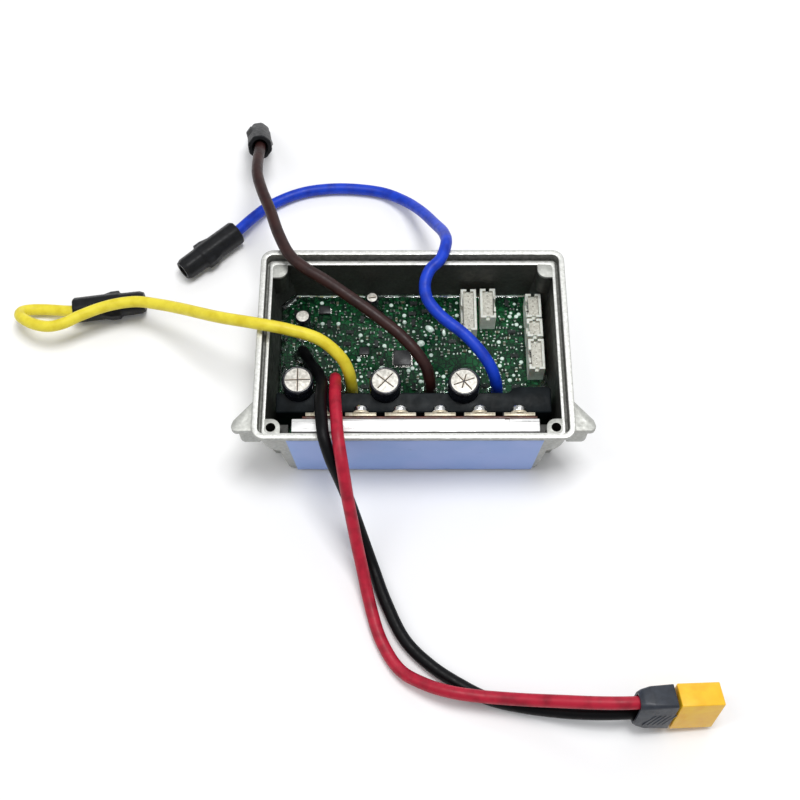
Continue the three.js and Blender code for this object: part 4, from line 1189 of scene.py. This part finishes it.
def plug_section(x, radius, lug=0.0):
    """An eight-sided section across the plug, its two sides pushed out by lug."""
    points = []
    for i in range(32):
        angle = (i + 0.5) / 32 * 2 * pi
        sector = (angle + pi / 8) % (pi / 4) - pi / 8
        r = radius * cos(pi / 8) / cos(sector)
        y, z = r * cos(angle), r * sin(angle)
        flat = cos(pi / 8) * radius
        push = lug if abs(abs(y) - flat) < flat * 0.12 and abs(z) < radius * 0.45 else 0
        points.append((x, y + copysign(push, y), z))
    return np.array(points)


def make_phase_plug(color):
    at, towards = PLUGS[color]
    heading = Vector((1, 0, 0)).rotation_difference(Vector(towards)).to_matrix().to_4x4()
    place = Matrix.Translation(at) @ heading
    solid = fresh(loft, [plug_section(*section) for section in PLUG_SECTIONS], 0, 0.25)
    bores = [
        fresh(turn, [(r, x0), (r, x1)], 32, place=spin(90, "Y"))
        for x0, x1, r in ((-1, 2.5, 3.3), (2, 8.6, 2.75), (12.6, PLUG_LENGTH + 1, 2.5))]
    body = cut(solid, *bores)
    place_mesh(body, place)
    add_piece(f"phase_plug_{color}_body", body, ["plug"], "plug_black", [f"phase_plug_{color}"])
    contact = fresh(turn, [
        (2.05, 13), (2.1, 14), (2.1, 24.8), (1.9, 25.4), (1.5, 25.4), (1.45, 17), (1.2, 16.8)],
        32, 0, 0.1, place @ spin(90, "Y"))
    add_piece(
        f"phase_contact_{color}_bullet", contact, ["gold"], "contact_gold", [f"phase_contact_{color}"])


for color in PLUGS:
    make_phase_plug(color)


# ---- battery plug

BATTERY_PLACE = move(90.9, -122, 9.8) @ Euler(
    (radians(-15), radians(7), radians(3.5)), "XYZ").to_matrix().to_4x4()
SHELL = Vector((7.2, 4.05, 8))
PIN_OFFSET = 3.6


def make_battery_shell():
    """The amber shell, open at its mating end, with two bores for the pins and three ribs in front."""
    bm = bmesh.new()
    x, y, z = SHELL
    add_box(bm, (-x, -y, -z), (x, y, z), 0.35, segments=3)
    well = fresh(add_box, (-1, 1.2 - y, 1.2 - z), (x + 1, y - 1.2, z - 1.2), 0.3)
    bores = [
        fresh(turn, [(2.1, -x - 1), (2.1, 0)], 24, place=move(0, 0, side * PIN_OFFSET) @ spin(90, "Y"))
        for side in (-1, 1)]
    shell = cut(bm, well, *bores)
    for i in range(3):
        start = -x + 0.9 + i * 0.95
        add_box(shell, (start, -y - 0.02, -z + 1.2), (start + 0.4, -y + 0.3, z - 2.4 - 2.2 * i), 0.12)
    place_mesh(shell, BATTERY_PLACE)
    add_piece("battery_shell", shell, ["amber"], "plug_yellow", ["battery_plug_shell"])


def sheath_section(x, y, z, corner):
    """A rounded rectangle across the sheath, at x along it."""
    return np.roll(corner_ring(y, -z, z, corner, x, steps=6), 1, axis=1)


def make_battery_sheath():
    """The dark cap over the joints: its mouth is open, its front edge curved, its face ribbed."""
    front = -SHELL.x - 0.3
    rear = front - 12.5
    y, z = SHELL.y + 0.1, SHELL.z + 0.1
    outer = [
        sheath_section(rear, y - 0.9, z - 1.6, 2.2), sheath_section(rear + 1.2, y - 0.5, z - 0.9, 2.0),
        sheath_section(rear + 4, y - 0.1, z - 0.2, 1.6), sheath_section(front, y, z, 1.0)]
    inner = [
        sheath_section(front, y - 0.8, z - 0.8, 0.8), sheath_section(rear + 4, y - 1, z - 1.2, 1.2),
        sheath_section(rear + 0.1, y - 1.7, z - 2.5, 1.6)]
    bm = fresh(loft, outer + inner, 0, 0.2, closed=True)
    for v in bm.verts:
        if v.co.x > front - 2:
            v.co.x += 0.25 - 1.1 * abs(v.co.z / z) ** 2 * (1 if v.co.x > front - 1 else 0.4)
    for i in range(5):
        lean = move(rear + 4.2 + i * 1.7, -y + 0.02, -1.2) @ spin(24, "Y")
        add_box(bm, (-0.28, -0.12, -3.6), (0.28, 0.2, 3.4), 0.1, 0, lean)
    place_mesh(bm, BATTERY_PLACE)
    add_piece("battery_sheath", bm, ["sheath"], "plug_sheath", ["battery_plug_sheath"])


def make_battery_pins():
    for side, node in ((1, "battery_pin_positive"), (-1, "battery_pin_negative")):
        place = BATTERY_PLACE @ move(0, 0, side * PIN_OFFSET) @ spin(90, "Y")
        bm = fresh(turn, [(1.6, -9.5), (1.75, -9), (1.75, 4.8), (1.2, 5.5)], 28, 0, 0.2, place)
        add_piece(f"{node}_bullet", bm, ["gold"], "contact_gold", [node])


make_battery_shell()
make_battery_sheath()
make_battery_pins()


# ---- floor

FLOOR_HALF = 4000


def make_floor():
    bm = bmesh.new()
    bmesh.ops.create_grid(bm, x_segments=4, y_segments=4, size=FLOOR_HALF)
    new_object("floor", bm, ["floor"])


make_floor()
